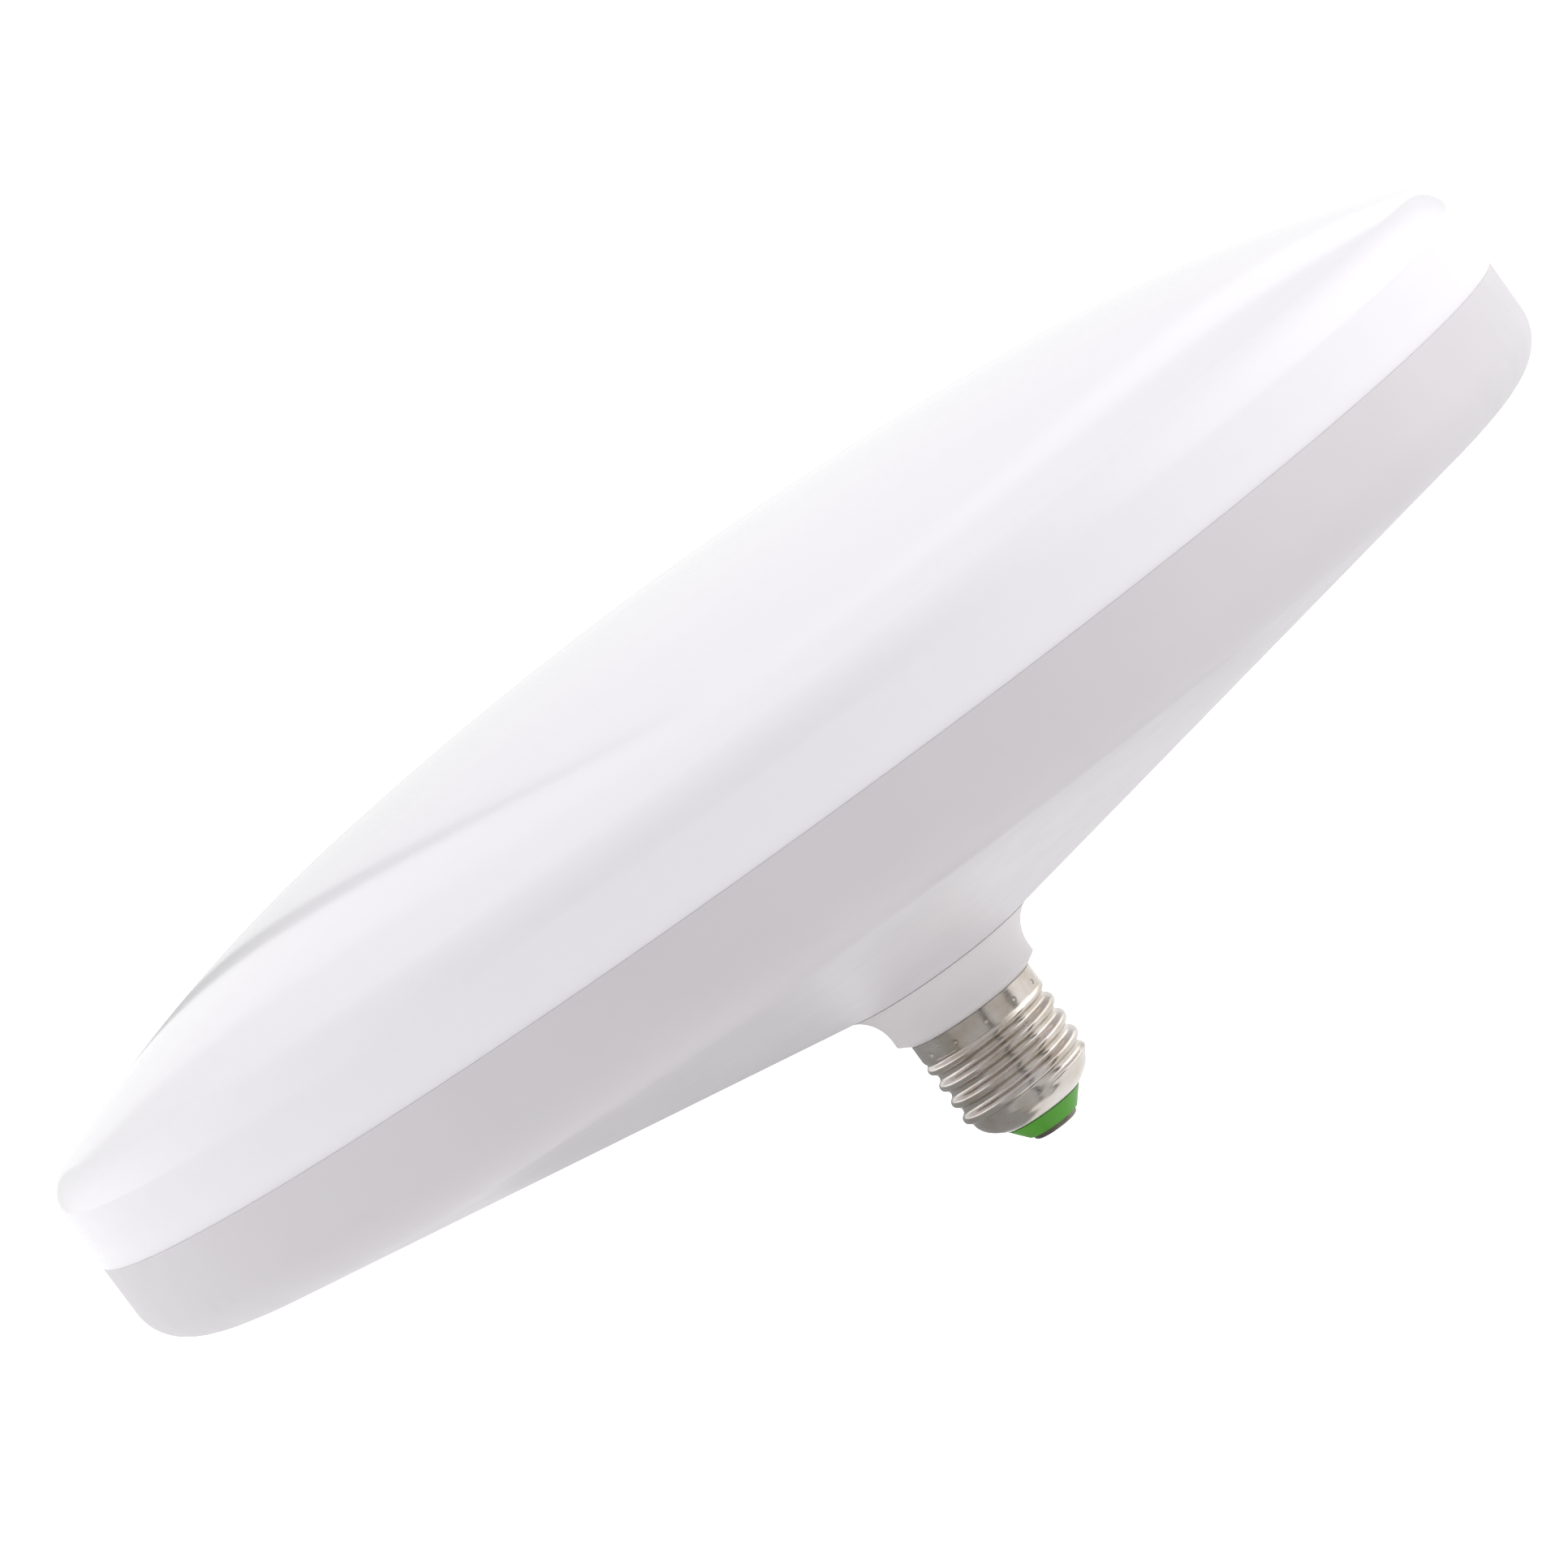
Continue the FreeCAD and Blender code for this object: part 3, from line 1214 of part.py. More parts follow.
def make_wires():
    crossing = collar_top + S.mains_wire_clear
    joint_x = output_end - S.mains_wire_end
    stem_top = S.contact_height + S.stem_length
    make_wire("live_wire", [
        (0.0, 0.0, stem_top),
        (0.0, 0.0, crossing),
        (-joint_x, 0.0, crossing),
        (-joint_x, 0.0, driver_height),
    ])
    shell_inside = S.thread_root - S.sheet
    make_wire("neutral_wire", [
        (shell_inside - S.cap_gap / 2, 0.0, S.neutral_height),
        (S.neutral_x, 0.0, S.neutral_height),
        (S.neutral_x, 0.0, crossing),
        (joint_x, 0.0, crossing),
        (joint_x, 0.0, driver_height),
    ])
    socket_x = output_end - S.socket_end
    under_film = film_bottom - S.wire_gap
    loop_top = board_top + S.terminal_height + S.wire_loop
    for name, side in (("led_wire_positive", 1.0), ("led_wire_negative", -1.0)):
        y = S.wire_pair * side
        make_wire(name, [
            (socket_x, y, driver_top + S.socket_height),
            (socket_x, y, under_film),
            (S.wire_rise_x, y, under_film),
            (S.wire_rise_x, y, loop_top),
            (S.terminal_x, y, loop_top),
            (S.terminal_x, y, board_top + S.terminal_height),
        ])


# Checks and files


def check_and_export():
    doc.recompute()
    for obj in doc.Objects:
        faults = [state for state in obj.State if state in ("Invalid", "Error")]
        if faults:
            raise RuntimeError(f"{obj.Label}: {faults}")
    os.makedirs("parts", exist_ok=True)
    for obj in sub_parts:
        if obj.Shape.isNull() or not obj.Shape.isValid():
            raise RuntimeError(f"{obj.Label}: its shape is missing or not valid")
        obj.Shape.exportStep(f"parts/{obj.Label}.step")
        solids = len(obj.Shape.Solids)
        print(f"{obj.Label}: {solids} solid(s), {obj.Shape.Volume:.1f} mm3")


make_diffuser_cover()
make_back_housing()
make_neck_sleeve()
make_screw_shell()
make_cap_insulator()
make_centre_contact()
make_heat_plate()
make_led_board()
make_insulating_sheet()
make_led_chips()
make_screws()
make_driver_board()
make_transformer()
make_capacitor("input_capacitor", S.input_can_radius, S.input_can_height,
               input_end + S.input_can_end, rear_edge - S.input_can_edge)
make_capacitor("output_capacitor", S.output_can_radius, S.output_can_height,
               output_end - S.output_can_end, front_edge + S.output_can_edge)
make_film_capacitor()
make_choke()
make_small_parts()
make_wires()
check_and_export()
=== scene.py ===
import json
import math

import bmesh
import bpy
from mathutils import Euler, Matrix, Vector


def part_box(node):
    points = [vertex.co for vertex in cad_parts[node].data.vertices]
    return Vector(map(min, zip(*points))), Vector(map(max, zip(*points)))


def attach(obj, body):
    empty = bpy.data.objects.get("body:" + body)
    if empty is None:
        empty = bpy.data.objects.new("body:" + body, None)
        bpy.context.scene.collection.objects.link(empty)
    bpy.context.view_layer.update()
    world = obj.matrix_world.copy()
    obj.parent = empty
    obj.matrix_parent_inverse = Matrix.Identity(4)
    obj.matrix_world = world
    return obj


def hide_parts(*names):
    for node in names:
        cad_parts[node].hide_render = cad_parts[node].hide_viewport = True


# Dressed model of the LED disc lamp. Lengths are metres in the part's own frame: +Z runs up
# the axis from the screw cap to the diffuser, and the contact's tip is the origin.

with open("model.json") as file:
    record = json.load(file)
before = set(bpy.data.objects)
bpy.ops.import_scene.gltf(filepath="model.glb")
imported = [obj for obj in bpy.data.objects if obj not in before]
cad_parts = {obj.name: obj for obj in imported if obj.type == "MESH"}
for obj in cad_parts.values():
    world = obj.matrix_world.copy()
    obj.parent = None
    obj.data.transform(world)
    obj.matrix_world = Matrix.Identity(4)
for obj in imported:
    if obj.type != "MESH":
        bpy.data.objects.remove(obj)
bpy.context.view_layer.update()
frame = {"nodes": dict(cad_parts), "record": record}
nodes = frame["nodes"]

MM = 0.001

# Range that holds most of a noise
NOISE_LOW = 0.3
NOISE_HIGH = 0.7

# Depth of the grain in a moulded or rolled surface
GRAIN_DEPTH = 0.00003

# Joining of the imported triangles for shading, with the edge's angle in degrees
WELD_GAP = 1.0e-6
SHARP_EDGE = 32.0

# Turned cover, with the edge's angle in degrees
COVER_STEPS = 320
COVER_SHARP_EDGE = 30.0
MERGE_GAP = 1.0e-7

# Floor
FLOOR_DROP = 0.42
FLOOR_REACH = 30.0
FLOOR_SHADE = 0.92
FLOOR_GLOW_SEEN = 0.55
FLOOR_GLOW_MIRRORED = 0.15

# Cards, matt and nearly black but for their glow
MATT = 0.9
CARD_SHADE = 0.02
OVAL_SIDES = 96

# Ends of the slope in glow on a card that is dimmer on its left
DIM_SIDE = -0.35
BRIGHT_SIDE = 0.10

# Low screens round the cap
SCREEN_RADIUS = 0.09
SCREEN_FOOT = -0.38
SCREEN_HEAD = 0.025
SCREEN_SIDES = 24

# Light of the backdrop: its plain level, and lobes of direction, width in degrees and change
LIGHT_LEVEL = 0.93
DIM_FRONT = ((0.0, -1.0, 0.0), 75.0, -0.60)
BRIGHT_RIGHT = ((1.0, -0.1, -0.1), 75.0, 1.08)
BRIGHT_LEFT = ((-1.0, 0.2, -0.1), 65.0, 0.57)
DIM_BACK = ((0.0, 1.0, 0.1), 60.0, -0.1)

# Camera: sensor and lens in millimetres, place in metres, turn in degrees
SENSOR_WIDTH = 36.0
FOCAL_LENGTH = 103.315
CAMERA_PLACE = (0.0, -0.800, 0.13804)
CAMERA_TURN = (84.749, 35.917, -2.828)


# Helpers for materials


def new_finish(name):
    """An empty finish with its surface shader."""
    finish = bpy.data.materials.new(name)
    finish.use_nodes = True
    tree = finish.node_tree
    surface = tree.nodes["Principled BSDF"]
    return finish, tree, surface


def add(tree, kind, **settings):
    """A new node with its settings."""
    item = tree.nodes.new(kind)
    for key, value in settings.items():
        setattr(item, key, value)
    return item


def object_place(tree, stretch=(1.0, 1.0, 1.0)):
    """Object coordinates, stretched for streaks."""
    coordinates = add(tree, "ShaderNodeTexCoord")
    mapping = add(tree, "ShaderNodeMapping")
    mapping.inputs["Scale"].default_value = stretch
    tree.links.new(coordinates.outputs["Object"], mapping.inputs["Vector"])
    return mapping.outputs["Vector"]


def noise(tree, place, scale, detail=3.0):
    """A cloudy noise of a given fineness, mostly between NOISE_LOW and NOISE_HIGH."""
    grain = add(tree, "ShaderNodeTexNoise")
    grain.inputs["Scale"].default_value = scale
    grain.inputs["Detail"].default_value = detail
    tree.links.new(place, grain.inputs["Vector"])
    return grain.outputs["Fac"]


def spread(tree, factor, low, high):
    """Stretch a noise over a range from low to high, without flattening its peaks."""
    fit = add(tree, "ShaderNodeMapRange", clamp=False)
    fit.inputs["From Min"].default_value = NOISE_LOW
    fit.inputs["From Max"].default_value = NOISE_HIGH
    fit.inputs["To Min"].default_value = low
    fit.inputs["To Max"].default_value = high
    tree.links.new(factor, fit.inputs["Value"])
    return fit.outputs["Result"]


def tint(tree, factor, *stops):
    """A colour ramp through (position, colour) stops."""
    ramp = add(tree, "ShaderNodeValToRGB")
    elements = ramp.color_ramp.elements
    while len(elements) < len(stops):
        elements.new(0.5)
    for element, (position, colour) in zip(elements, stops):
        element.position = position
        element.color = (*colour, 1.0)
    tree.links.new(factor, ramp.inputs["Fac"])
    return ramp.outputs["Color"]


def dents(tree, surface, height, strength, depth):
    """Small bumps of a given depth."""
    bump = add(tree, "ShaderNodeBump")
    bump.inputs["Strength"].default_value = strength
    bump.inputs["Distance"].default_value = depth
    tree.links.new(height, bump.inputs["Height"])
    tree.links.new(bump.outputs["Normal"], surface.inputs["Normal"])


# Finishes of the outside


def milky_plastic():
    """Opal moulding that scatters light, with a soft sheen."""
    finish, tree, surface = new_finish("milky_plastic")
    place = object_place(tree)
    cloud = noise(tree, place, 900.0, 2.0)
    colour = tint(tree, cloud, (0.0, (0.930, 0.898, 0.956)), (1.0, (0.940, 0.908, 0.966)))
    tree.links.new(colour, surface.inputs["Base Color"])
    tree.links.new(spread(tree, noise(tree, place, 700.0, 1.0), 0.08, 0.11), surface.inputs["Roughness"])
    surface.inputs["Subsurface Weight"].default_value = 0.2
    surface.inputs["Subsurface Radius"].default_value = (1.0, 0.95, 0.95)
    surface.inputs["Subsurface Scale"].default_value = 0.003
    surface.inputs["IOR"].default_value = 1.49
    dents(tree, surface, noise(tree, place, 600.0, 2.0), 0.04, 0.00002)
    return finish


def moulded_white(name, pale, dark, scale=2600.0):
    """Satin moulding with a fine spark-eroded grain."""
    finish, tree, surface = new_finish(name)
    place = object_place(tree)
    cloud = noise(tree, place, 26.0, 3.0)
    tree.links.new(tint(tree, cloud, (0.35, dark), (0.65, pale)), surface.inputs["Base Color"])
    tree.links.new(spread(tree, noise(tree, place, 160.0), 0.36, 0.44), surface.inputs["Roughness"])
    surface.inputs["IOR"].default_value = 1.55
    dents(tree, surface, noise(tree, place, scale, 2.0), 0.12, GRAIN_DEPTH)
    return finish


def nickel_plate():
    """Bright plated sheet with faint rolling streaks round the axis and a warm cast."""
    finish, tree, surface = new_finish("nickel_plate")
    place = object_place(tree)
    cloud = noise(tree, place, 140.0, 4.0)
    colour = tint(
        tree, cloud, (0.3, (0.51, 0.45, 0.38)), (0.5, (0.63, 0.58, 0.53)), (0.7, (0.70, 0.665, 0.63))
    )
    tree.links.new(colour, surface.inputs["Base Color"])
    surface.inputs["Metallic"].default_value = 1.0
    streaks = noise(tree, object_place(tree, (30.0, 30.0, 900.0)), 12.0, 4.0)
    tree.links.new(spread(tree, streaks, 0.12, 0.28), surface.inputs["Roughness"])
    dents(tree, surface, noise(tree, place, 700.0, 3.0), 0.25, GRAIN_DEPTH)
    return finish


def green_moulding():
    """Satin green moulding."""
    finish, tree, surface = new_finish("green_moulding")
    place = object_place(tree)
    cloud = noise(tree, place, 220.0, 3.0)
    colour = tint(tree, cloud, (0.3, (0.066, 0.28, 0.016)), (0.7, (0.080, 0.34, 0.022)))
    tree.links.new(colour, surface.inputs["Base Color"])
    tree.links.new(spread(tree, noise(tree, place, 900.0), 0.3, 0.42), surface.inputs["Roughness"])
    surface.inputs["IOR"].default_value = 1.38
    dents(tree, surface, noise(tree, place, 1800.0, 2.0), 0.2, GRAIN_DEPTH)
    return finish


# Finishes of what is inside


def grained(name, dark, pale, rough, scale, metal):
    """A finish whose colour and roughness vary slightly over a fine grain."""
    finish, tree, surface = new_finish(name)
    place = object_place(tree)
    grain = noise(tree, place, scale, 3.0)
    tree.links.new(tint(tree, grain, (0.35, dark), (0.65, pale)), surface.inputs["Base Color"])
    low, high = rough
    tree.links.new(spread(tree, noise(tree, place, scale * 2.0), low, high), surface.inputs["Roughness"])
    surface.inputs["Metallic"].default_value = metal
    dents(tree, surface, grain, 0.2, GRAIN_DEPTH)
    return finish


# Each slot's dark and pale colour, range of roughness, fineness of the grain, and metal
INNER_FINISHES = {
    "contact_metal": ((0.17, 0.155, 0.13), (0.25, 0.23, 0.20), (0.3, 0.42), 500.0, 1.0),
    "heat_plate": ((0.70, 0.70, 0.71), (0.82, 0.82, 0.83), (0.28, 0.42), 60.0, 1.0),
    "board_white": ((0.86, 0.86, 0.85), (0.91, 0.91, 0.90), (0.22, 0.34), 120.0, 0.0),
    "phosphor": ((0.88, 0.74, 0.30), (0.93, 0.83, 0.42), (0.3, 0.42), 900.0, 0.0),
    "film": ((0.78, 0.77, 0.72), (0.84, 0.83, 0.79), (0.25, 0.4), 80.0, 0.0),
    "screw_steel": ((0.55, 0.55, 0.57), (0.68, 0.68, 0.69), (0.22, 0.36), 900.0, 1.0),
    "circuit_board": ((0.55, 0.45, 0.24), (0.66, 0.56, 0.33), (0.45, 0.6), 300.0, 0.0),
    "ferrite": ((0.035, 0.035, 0.038), (0.075, 0.075, 0.08), (0.5, 0.7), 1200.0, 0.0),
    "bobbin": ((0.02, 0.02, 0.02), (0.035, 0.035, 0.035), (0.35, 0.5), 900.0, 0.0),
    "tape": ((0.80, 0.62, 0.08), (0.86, 0.70, 0.14), (0.2, 0.3), 500.0, 0.0),
    "can_sleeve": ((0.012, 0.014, 0.022), (0.03, 0.035, 0.05), (0.18, 0.28), 600.0, 0.0),
    "film_cap": ((0.36, 0.05, 0.02), (0.48, 0.08, 0.04), (0.15, 0.3), 500.0, 0.0),
    "copper": ((0.50, 0.20, 0.07), (0.72, 0.33, 0.14), (0.2, 0.34), 1500.0, 1.0),
    "black_resin": ((0.015, 0.015, 0.015), (0.035, 0.035, 0.035), (0.45, 0.6), 1100.0, 0.0),
    "varistor": ((0.02, 0.08, 0.30), (0.04, 0.12, 0.40), (0.16, 0.28), 500.0, 0.0),
    "fuse_body": ((0.05, 0.20, 0.12), (0.08, 0.28, 0.18), (0.35, 0.5), 700.0, 0.0),
    "socket": ((0.82, 0.80, 0.72), (0.88, 0.86, 0.80), (0.35, 0.48), 500.0, 0.0),
    "wire_red": ((0.45, 0.02, 0.015), (0.58, 0.04, 0.03), (0.4, 0.55), 700.0, 0.0),
    "wire_black": ((0.012, 0.012, 0.012), (0.03, 0.03, 0.03), (0.4, 0.55), 700.0, 0.0),
    "wire_white": ((0.74, 0.74, 0.73), (0.82, 0.82, 0.81), (0.4, 0.55), 700.0, 0.0),
}

finishes = {
    "diffuser": milky_plastic(),
    "housing": moulded_white("housing_white", (0.692, 0.664, 0.694), (0.672, 0.644, 0.674)),
    "neck": moulded_white("neck_white", (0.72, 0.686, 0.698), (0.70, 0.666, 0.678), 3200.0),
    "shell_metal": nickel_plate(),
    "insulator": green_moulding(),
}
for slot_name, (dark, pale, rough, scale, metal) in INNER_FINISHES.items():
    finishes[slot_name] = grained(slot_name, dark, pale, rough, scale, metal)


def dress(piece, finish):
    """Give a piece one finish."""
    piece.data.materials.clear()
    piece.data.materials.append(finish)


def shade_smooth(piece, angle):
    """Join the loose triangles for shading and keep edges sharper than the angle."""
    piece.data.polygons.foreach_set("use_smooth", [True] * len(piece.data.polygons))
    weld = piece.modifiers.new("joined_corners", "WELD")
    weld.merge_threshold = WELD_GAP
    split = piece.modifiers.new("sharp_edges", "EDGE_SPLIT")
    split.split_angle = math.radians(angle)


for entry in frame["record"]["subparts"]:
    piece = nodes[entry["node"]]
    dress(piece, finishes[entry["material_slot"]])
    shade_smooth(piece, SHARP_EDGE)


# Diffuser cover, turned finely enough for its long soft reflections


class Profile:
    """Half an outline in the XZ plane that grows by lines and arcs."""

    def __init__(self, x, z):
        self.shape = bmesh.new()
        self.end = self.shape.verts.new((x, 0.0, z))

    def line(self, x, z):
        """Go straight to a point."""
        grown = bmesh.ops.extrude_vert_indiv(self.shape, verts=[self.end])
        self.end = grown["verts"][0]
        self.end.co = (x, 0.0, z)

    def arc(self, x, z, turn, steps):
        """Go round a centre; a positive turn leads outward and down."""
        swept = bmesh.ops.spin(
            self.shape, geom=[self.end], cent=(x, 0.0, z), axis=(0.0, 1.0, 0.0), angle=turn, steps=steps
        )
        self.end = [item for item in swept["geom_last"] if isinstance(item, bmesh.types.BMVert)][0]

    def turned(self, name, steps, sharp):
        """Turn the outline about the axis into a closed piece."""
        bmesh.ops.spin(
            self.shape, geom=self.shape.verts[:] + self.shape.edges[:], cent=(0.0, 0.0, 0.0),
            axis=(0.0, 0.0, 1.0), angle=math.tau, steps=steps, use_merge=True
        )
        bmesh.ops.remove_doubles(self.shape, verts=self.shape.verts, dist=MERGE_GAP)
        bmesh.ops.recalc_face_normals(self.shape, faces=self.shape.faces)
        for face in self.shape.faces:
            face.smooth = True
        for edge in self.shape.edges:
            edge.smooth = edge.calc_face_angle(0.0) < math.radians(sharp)
        mesh = bpy.data.meshes.new(name)
        self.shape.to_mesh(mesh)
        self.shape.free()
        piece = bpy.data.objects.new(name, mesh)
        bpy.context.scene.collection.objects.link(piece)
        return piece


def make_cover():
    """The milky dome with its three radii, its side wall, its lip and its inner face.

    The wall's lower edge laps over the chamfer on the housing's band.
    """
    low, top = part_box("diffuser_cover")
    disc, apex = top.x, top.z
    wall = 1.6 * MM
    lap = 0.38 * MM
    lip_outside = 147.8 * MM
    lip_inside = 146.1 * MM
    lip_bottom = low.z
    seam = lip_bottom + 6.5 * MM
    crown = 660.0 * MM
    haunch = 290.0 * MM
    shoulder = 8.0 * MM
    crown_edge = 75.0 * MM
    crown_turn = math.asin(crown_edge / crown)
    crown_z = apex - crown
    haunch_x = (crown - haunch) * math.sin(crown_turn)
    haunch_z = crown_z + (crown - haunch) * math.cos(crown_turn)
    shoulder_x = disc - shoulder
    haunch_end = math.asin((shoulder_x - haunch_x) / (haunch - shoulder))
    shoulder_z = haunch_z + (haunch - shoulder) * math.cos(haunch_end)
    # centre, turn and steps of each arc
    arcs = (
        (0.0, crown_z, crown_turn, 14),
        (haunch_x, haunch_z, haunch_end - crown_turn, 20),
        (shoulder_x, shoulder_z, math.pi / 2 - haunch_end, 16),
    )
    profile = Profile(0.0, apex)
    for x, z, turn, steps in arcs:
        profile.arc(x, z, turn, steps)
    profile.line(disc, seam - lap)
    profile.line(disc - lap, seam)
    profile.line(lip_outside, seam)
    profile.line(lip_outside, lip_bottom)
    profile.line(lip_inside, lip_bottom)
    profile.line(lip_inside, seam + wall)
    profile.line(disc - wall, seam + 2 * wall)
    profile.line(disc - wall, shoulder_z)
    for x, z, turn, steps in reversed(arcs):
        profile.arc(x, z, -turn, steps)
    cover = profile.turned("milky_cover", COVER_STEPS, COVER_SHARP_EDGE)
    dress(cover, finishes["diffuser"])
    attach(cover, "root")
    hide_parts("diffuser_cover")


make_cover()


# Floor, cards, backdrop and camera


def floor_finish():
    """Pale floor that reads white to the camera and keeps the lamp's shadow."""
    finish, tree, surface = new_finish("pale_floor")
    surface.inputs["Base Color"].default_value = (FLOOR_SHADE, FLOOR_SHADE, FLOOR_SHADE, 1.0)
    surface.inputs["Roughness"].default_value = MATT
    surface.inputs["Specular IOR Level"].default_value = 0.0
    path = add(tree, "ShaderNodeLightPath")
    mirrored = add(tree, "ShaderNodeMath", operation="MAXIMUM")
    tree.links.new(path.outputs["Is Glossy Ray"], mirrored.inputs[0])
    tree.links.new(path.outputs["Is Transmission Ray"], mirrored.inputs[1])
    shown = add(tree, "ShaderNodeMath", operation="MULTIPLY")
    shown.inputs[1].default_value = FLOOR_GLOW_MIRRORED
    tree.links.new(mirrored.outputs["Value"], shown.inputs[0])
    lift = add(tree, "ShaderNodeMath", operation="MULTIPLY_ADD")
    lift.inputs[1].default_value = FLOOR_GLOW_SEEN
    tree.links.new(path.outputs["Is Camera Ray"], lift.inputs[0])
    tree.links.new(shown.outputs["Value"], lift.inputs[2])
    glow = add(tree, "ShaderNodeEmission")
    tree.links.new(lift.outputs["Value"], glow.inputs["Strength"])
    both = add(tree, "ShaderNodeAddShader")
    tree.links.new(surface.outputs["BSDF"], both.inputs[0])
    tree.links.new(glow.outputs["Emission"], both.inputs[1])
    tree.links.new(both.outputs["Shader"], tree.nodes["Material Output"].inputs["Surface"])
    return finish


def add_stage(name, shape, finish, seen=True):
    """Turn a shape into a stage object that isn't part of the lamp."""
    mesh = bpy.data.meshes.new(name)
    shape.to_mesh(mesh)
    shape.free()
    item = bpy.data.objects.new(name, mesh)
    bpy.context.scene.collection.objects.link(item)
    item.visible_camera = seen
    dress(item, finish)
    return item


def make_floor():
    """A wide floor below the lamp."""
    shape = bmesh.new()
    bmesh.ops.create_grid(shape, x_segments=2, y_segments=2, size=FLOOR_REACH)
    bmesh.ops.translate(shape, verts=shape.verts, vec=(0.0, 0.0, -FLOOR_DROP))
    add_stage("floor", shape, floor_finish())


def card_finish(name, glow, glow_left=None):
    """A matt card that glows, and that may glow less towards its left."""
    finish, tree, surface = new_finish(name)
    surface.inputs["Base Color"].default_value = (CARD_SHADE, CARD_SHADE, CARD_SHADE, 1.0)
    surface.inputs["Roughness"].default_value = MATT
    surface.inputs["Specular IOR Level"].default_value = 0.0
    surface.inputs["Emission Color"].default_value = (1.0, 1.0, 1.0, 1.0)
    surface.inputs["Emission Strength"].default_value = glow
    if glow_left is not None:
        sides = add(tree, "ShaderNodeSeparateXYZ")
        tree.links.new(object_place(tree), sides.inputs["Vector"])
        slope = add(tree, "ShaderNodeMapRange")
        slope.inputs["From Min"].default_value = DIM_SIDE
        slope.inputs["From Max"].default_value = BRIGHT_SIDE
        slope.inputs["To Min"].default_value = glow_left
        slope.inputs["To Max"].default_value = glow
        tree.links.new(sides.outputs["X"], slope.inputs["Value"])
        tree.links.new(slope.outputs["Result"], surface.inputs["Emission Strength"])
    return finish


def make_oval(name, place, width, height, finish):
    """An upright oval panel that faces the axis and lights the lamp. The camera doesn't see it."""
    shape = bmesh.new()
    bmesh.ops.create_circle(shape, cap_ends=True, segments=OVAL_SIDES, radius=0.5)
    bmesh.ops.scale(shape, verts=shape.verts, vec=(width, height, 1.0))
    facing = Vector((-place[0], -place[1], 0.0)).to_track_quat("Z", "Y").to_matrix()
    bmesh.ops.rotate(shape, verts=shape.verts, cent=(0.0, 0.0, 0.0), matrix=facing)
    bmesh.ops.translate(shape, verts=shape.verts, vec=place)
    add_stage(name, shape, finish, False)


def make_screen(name, start, end, finish):
    """A curved screen round the cap that shows only in reflections.

    It runs between two bearings, which are degrees from the front towards the right.
    """
    shape = bmesh.new()
    foot = shape.verts.new((0.0, -SCREEN_RADIUS, SCREEN_FOOT))
    head = shape.verts.new((0.0, -SCREEN_RADIUS, SCREEN_HEAD))
    side = [foot, head, shape.edges.new((foot, head))]
    turn = Matrix.Rotation(math.radians(start), 3, "Z")
    bmesh.ops.rotate(shape, verts=[foot, head], cent=(0.0, 0.0, 0.0), matrix=turn)
    bmesh.ops.spin(
        shape, geom=side, cent=(0.0, 0.0, 0.0), axis=(0.0, 0.0, 1.0),
        angle=math.radians(end - start), steps=SCREEN_SIDES
    )
    screen = add_stage(name, shape, finish, False)
    screen.visible_diffuse = False
    screen.visible_shadow = False


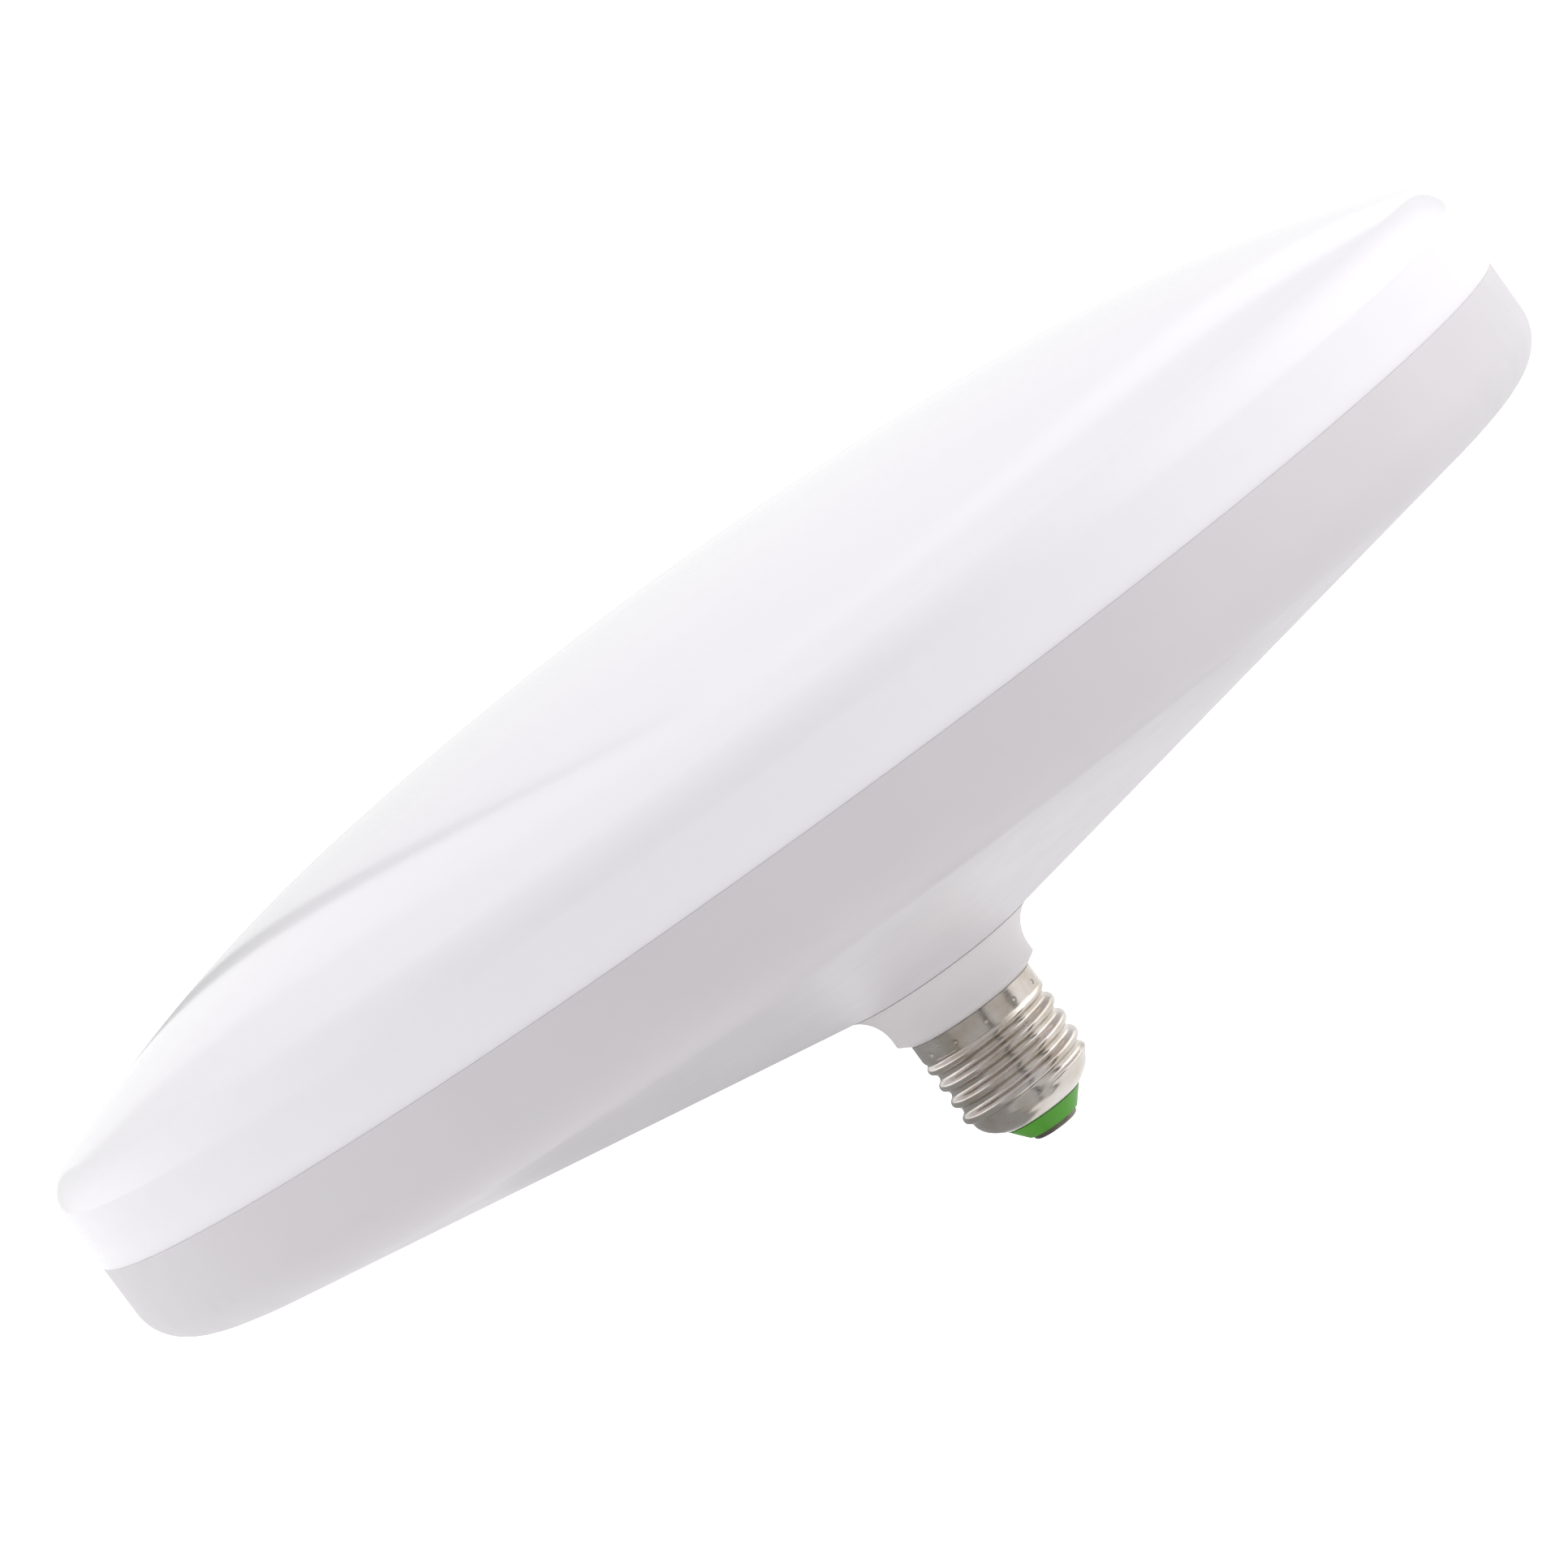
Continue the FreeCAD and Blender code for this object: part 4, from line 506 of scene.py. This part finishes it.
def light_world(level, *lobes):
    """A white backdrop that lights the lamp unevenly, as a tent with panels does.

    Each lobe adds its change in its own direction, and less and less out to its width.
    """
    world = bpy.data.worlds.new("studio")
    bpy.context.scene.world = world
    world.use_nodes = True
    tree = world.node_tree
    direction = add(tree, "ShaderNodeTexCoord")
    plain = add(tree, "ShaderNodeValue")
    plain.outputs["Value"].default_value = level
    total = plain.outputs["Value"]
    for toward, width, change in lobes:
        facing = add(tree, "ShaderNodeVectorMath", operation="DOT_PRODUCT")
        facing.inputs[1].default_value = Vector(toward).normalized()
        tree.links.new(direction.outputs["Generated"], facing.inputs[0])
        panel = add(tree, "ShaderNodeMapRange", interpolation_type="SMOOTHSTEP")
        panel.inputs["From Min"].default_value = math.cos(math.radians(width))
        panel.inputs["From Max"].default_value = 1.0
        panel.inputs["To Max"].default_value = change
        tree.links.new(facing.outputs["Value"], panel.inputs["Value"])
        joined = add(tree, "ShaderNodeMath", operation="ADD")
        tree.links.new(total, joined.inputs[0])
        tree.links.new(panel.outputs["Result"], joined.inputs[1])
        total = joined.outputs["Value"]
    path = add(tree, "ShaderNodeLightPath")
    # inputs 0, 2 and 3 of the mix are its factor and its two numbers
    strength = add(tree, "ShaderNodeMix", data_type="FLOAT")
    tree.links.new(path.outputs["Is Camera Ray"], strength.inputs[0])
    tree.links.new(total, strength.inputs[2])
    strength.inputs[3].default_value = 1.0
    backdrop = tree.nodes["Background"]
    backdrop.inputs["Color"].default_value = (1.0, 1.0, 1.0, 1.0)
    tree.links.new(strength.outputs[0], backdrop.inputs["Strength"])


def set_camera():
    """The photo's camera."""
    lens = bpy.data.cameras.new("camera")
    lens.sensor_width = SENSOR_WIDTH
    lens.lens = FOCAL_LENGTH
    camera = bpy.data.objects.new("camera", lens)
    camera.location = CAMERA_PLACE
    camera.rotation_euler = Euler([math.radians(angle) for angle in CAMERA_TURN])
    bpy.context.scene.collection.objects.link(camera)
    bpy.context.scene.camera = camera


make_floor()

# From the left round the front to the right: two grey screens, a pale one, and a dark streak
# on each side of it.
streak = card_finish("dark_streak", 0.15)
make_screen("left_screen", -165.0, -50.0, card_finish("dim_glow", 0.32))
make_screen("middle_screen", -50.0, 4.0, card_finish("grey_glow", 0.5))
make_screen("front_streak", 4.0, 13.0, streak)
make_screen("front_screen", 13.0, 51.0, card_finish("pale_glow", 0.64))
make_screen("right_streak", 51.0, 63.0, streak)

# From the front to the back: each oval shows as a rim round the one before it.
make_oval("back_panel", (0.08, 1.50, 0.10), 0.84, 2.62, card_finish("glowing_panel", 0.94, 0.84))
make_oval("panel_rim", (0.13, 1.52, 0.10), 0.94, 2.78, card_finish("glowing_rim", 1.15))
make_oval("panel_edge", (0.085, 1.58, 0.10), 0.97, 2.80, card_finish("dark_edge", 0.48))
make_oval("outer_rim", (0.0, 1.66, 0.10), 1.22, 3.2, card_finish("glowing_outer_rim", 1.0))

light_world(LIGHT_LEVEL, DIM_FRONT, BRIGHT_RIGHT, BRIGHT_LEFT, DIM_BACK)
set_camera()
bpy.context.scene.view_settings.view_transform = "Standard"
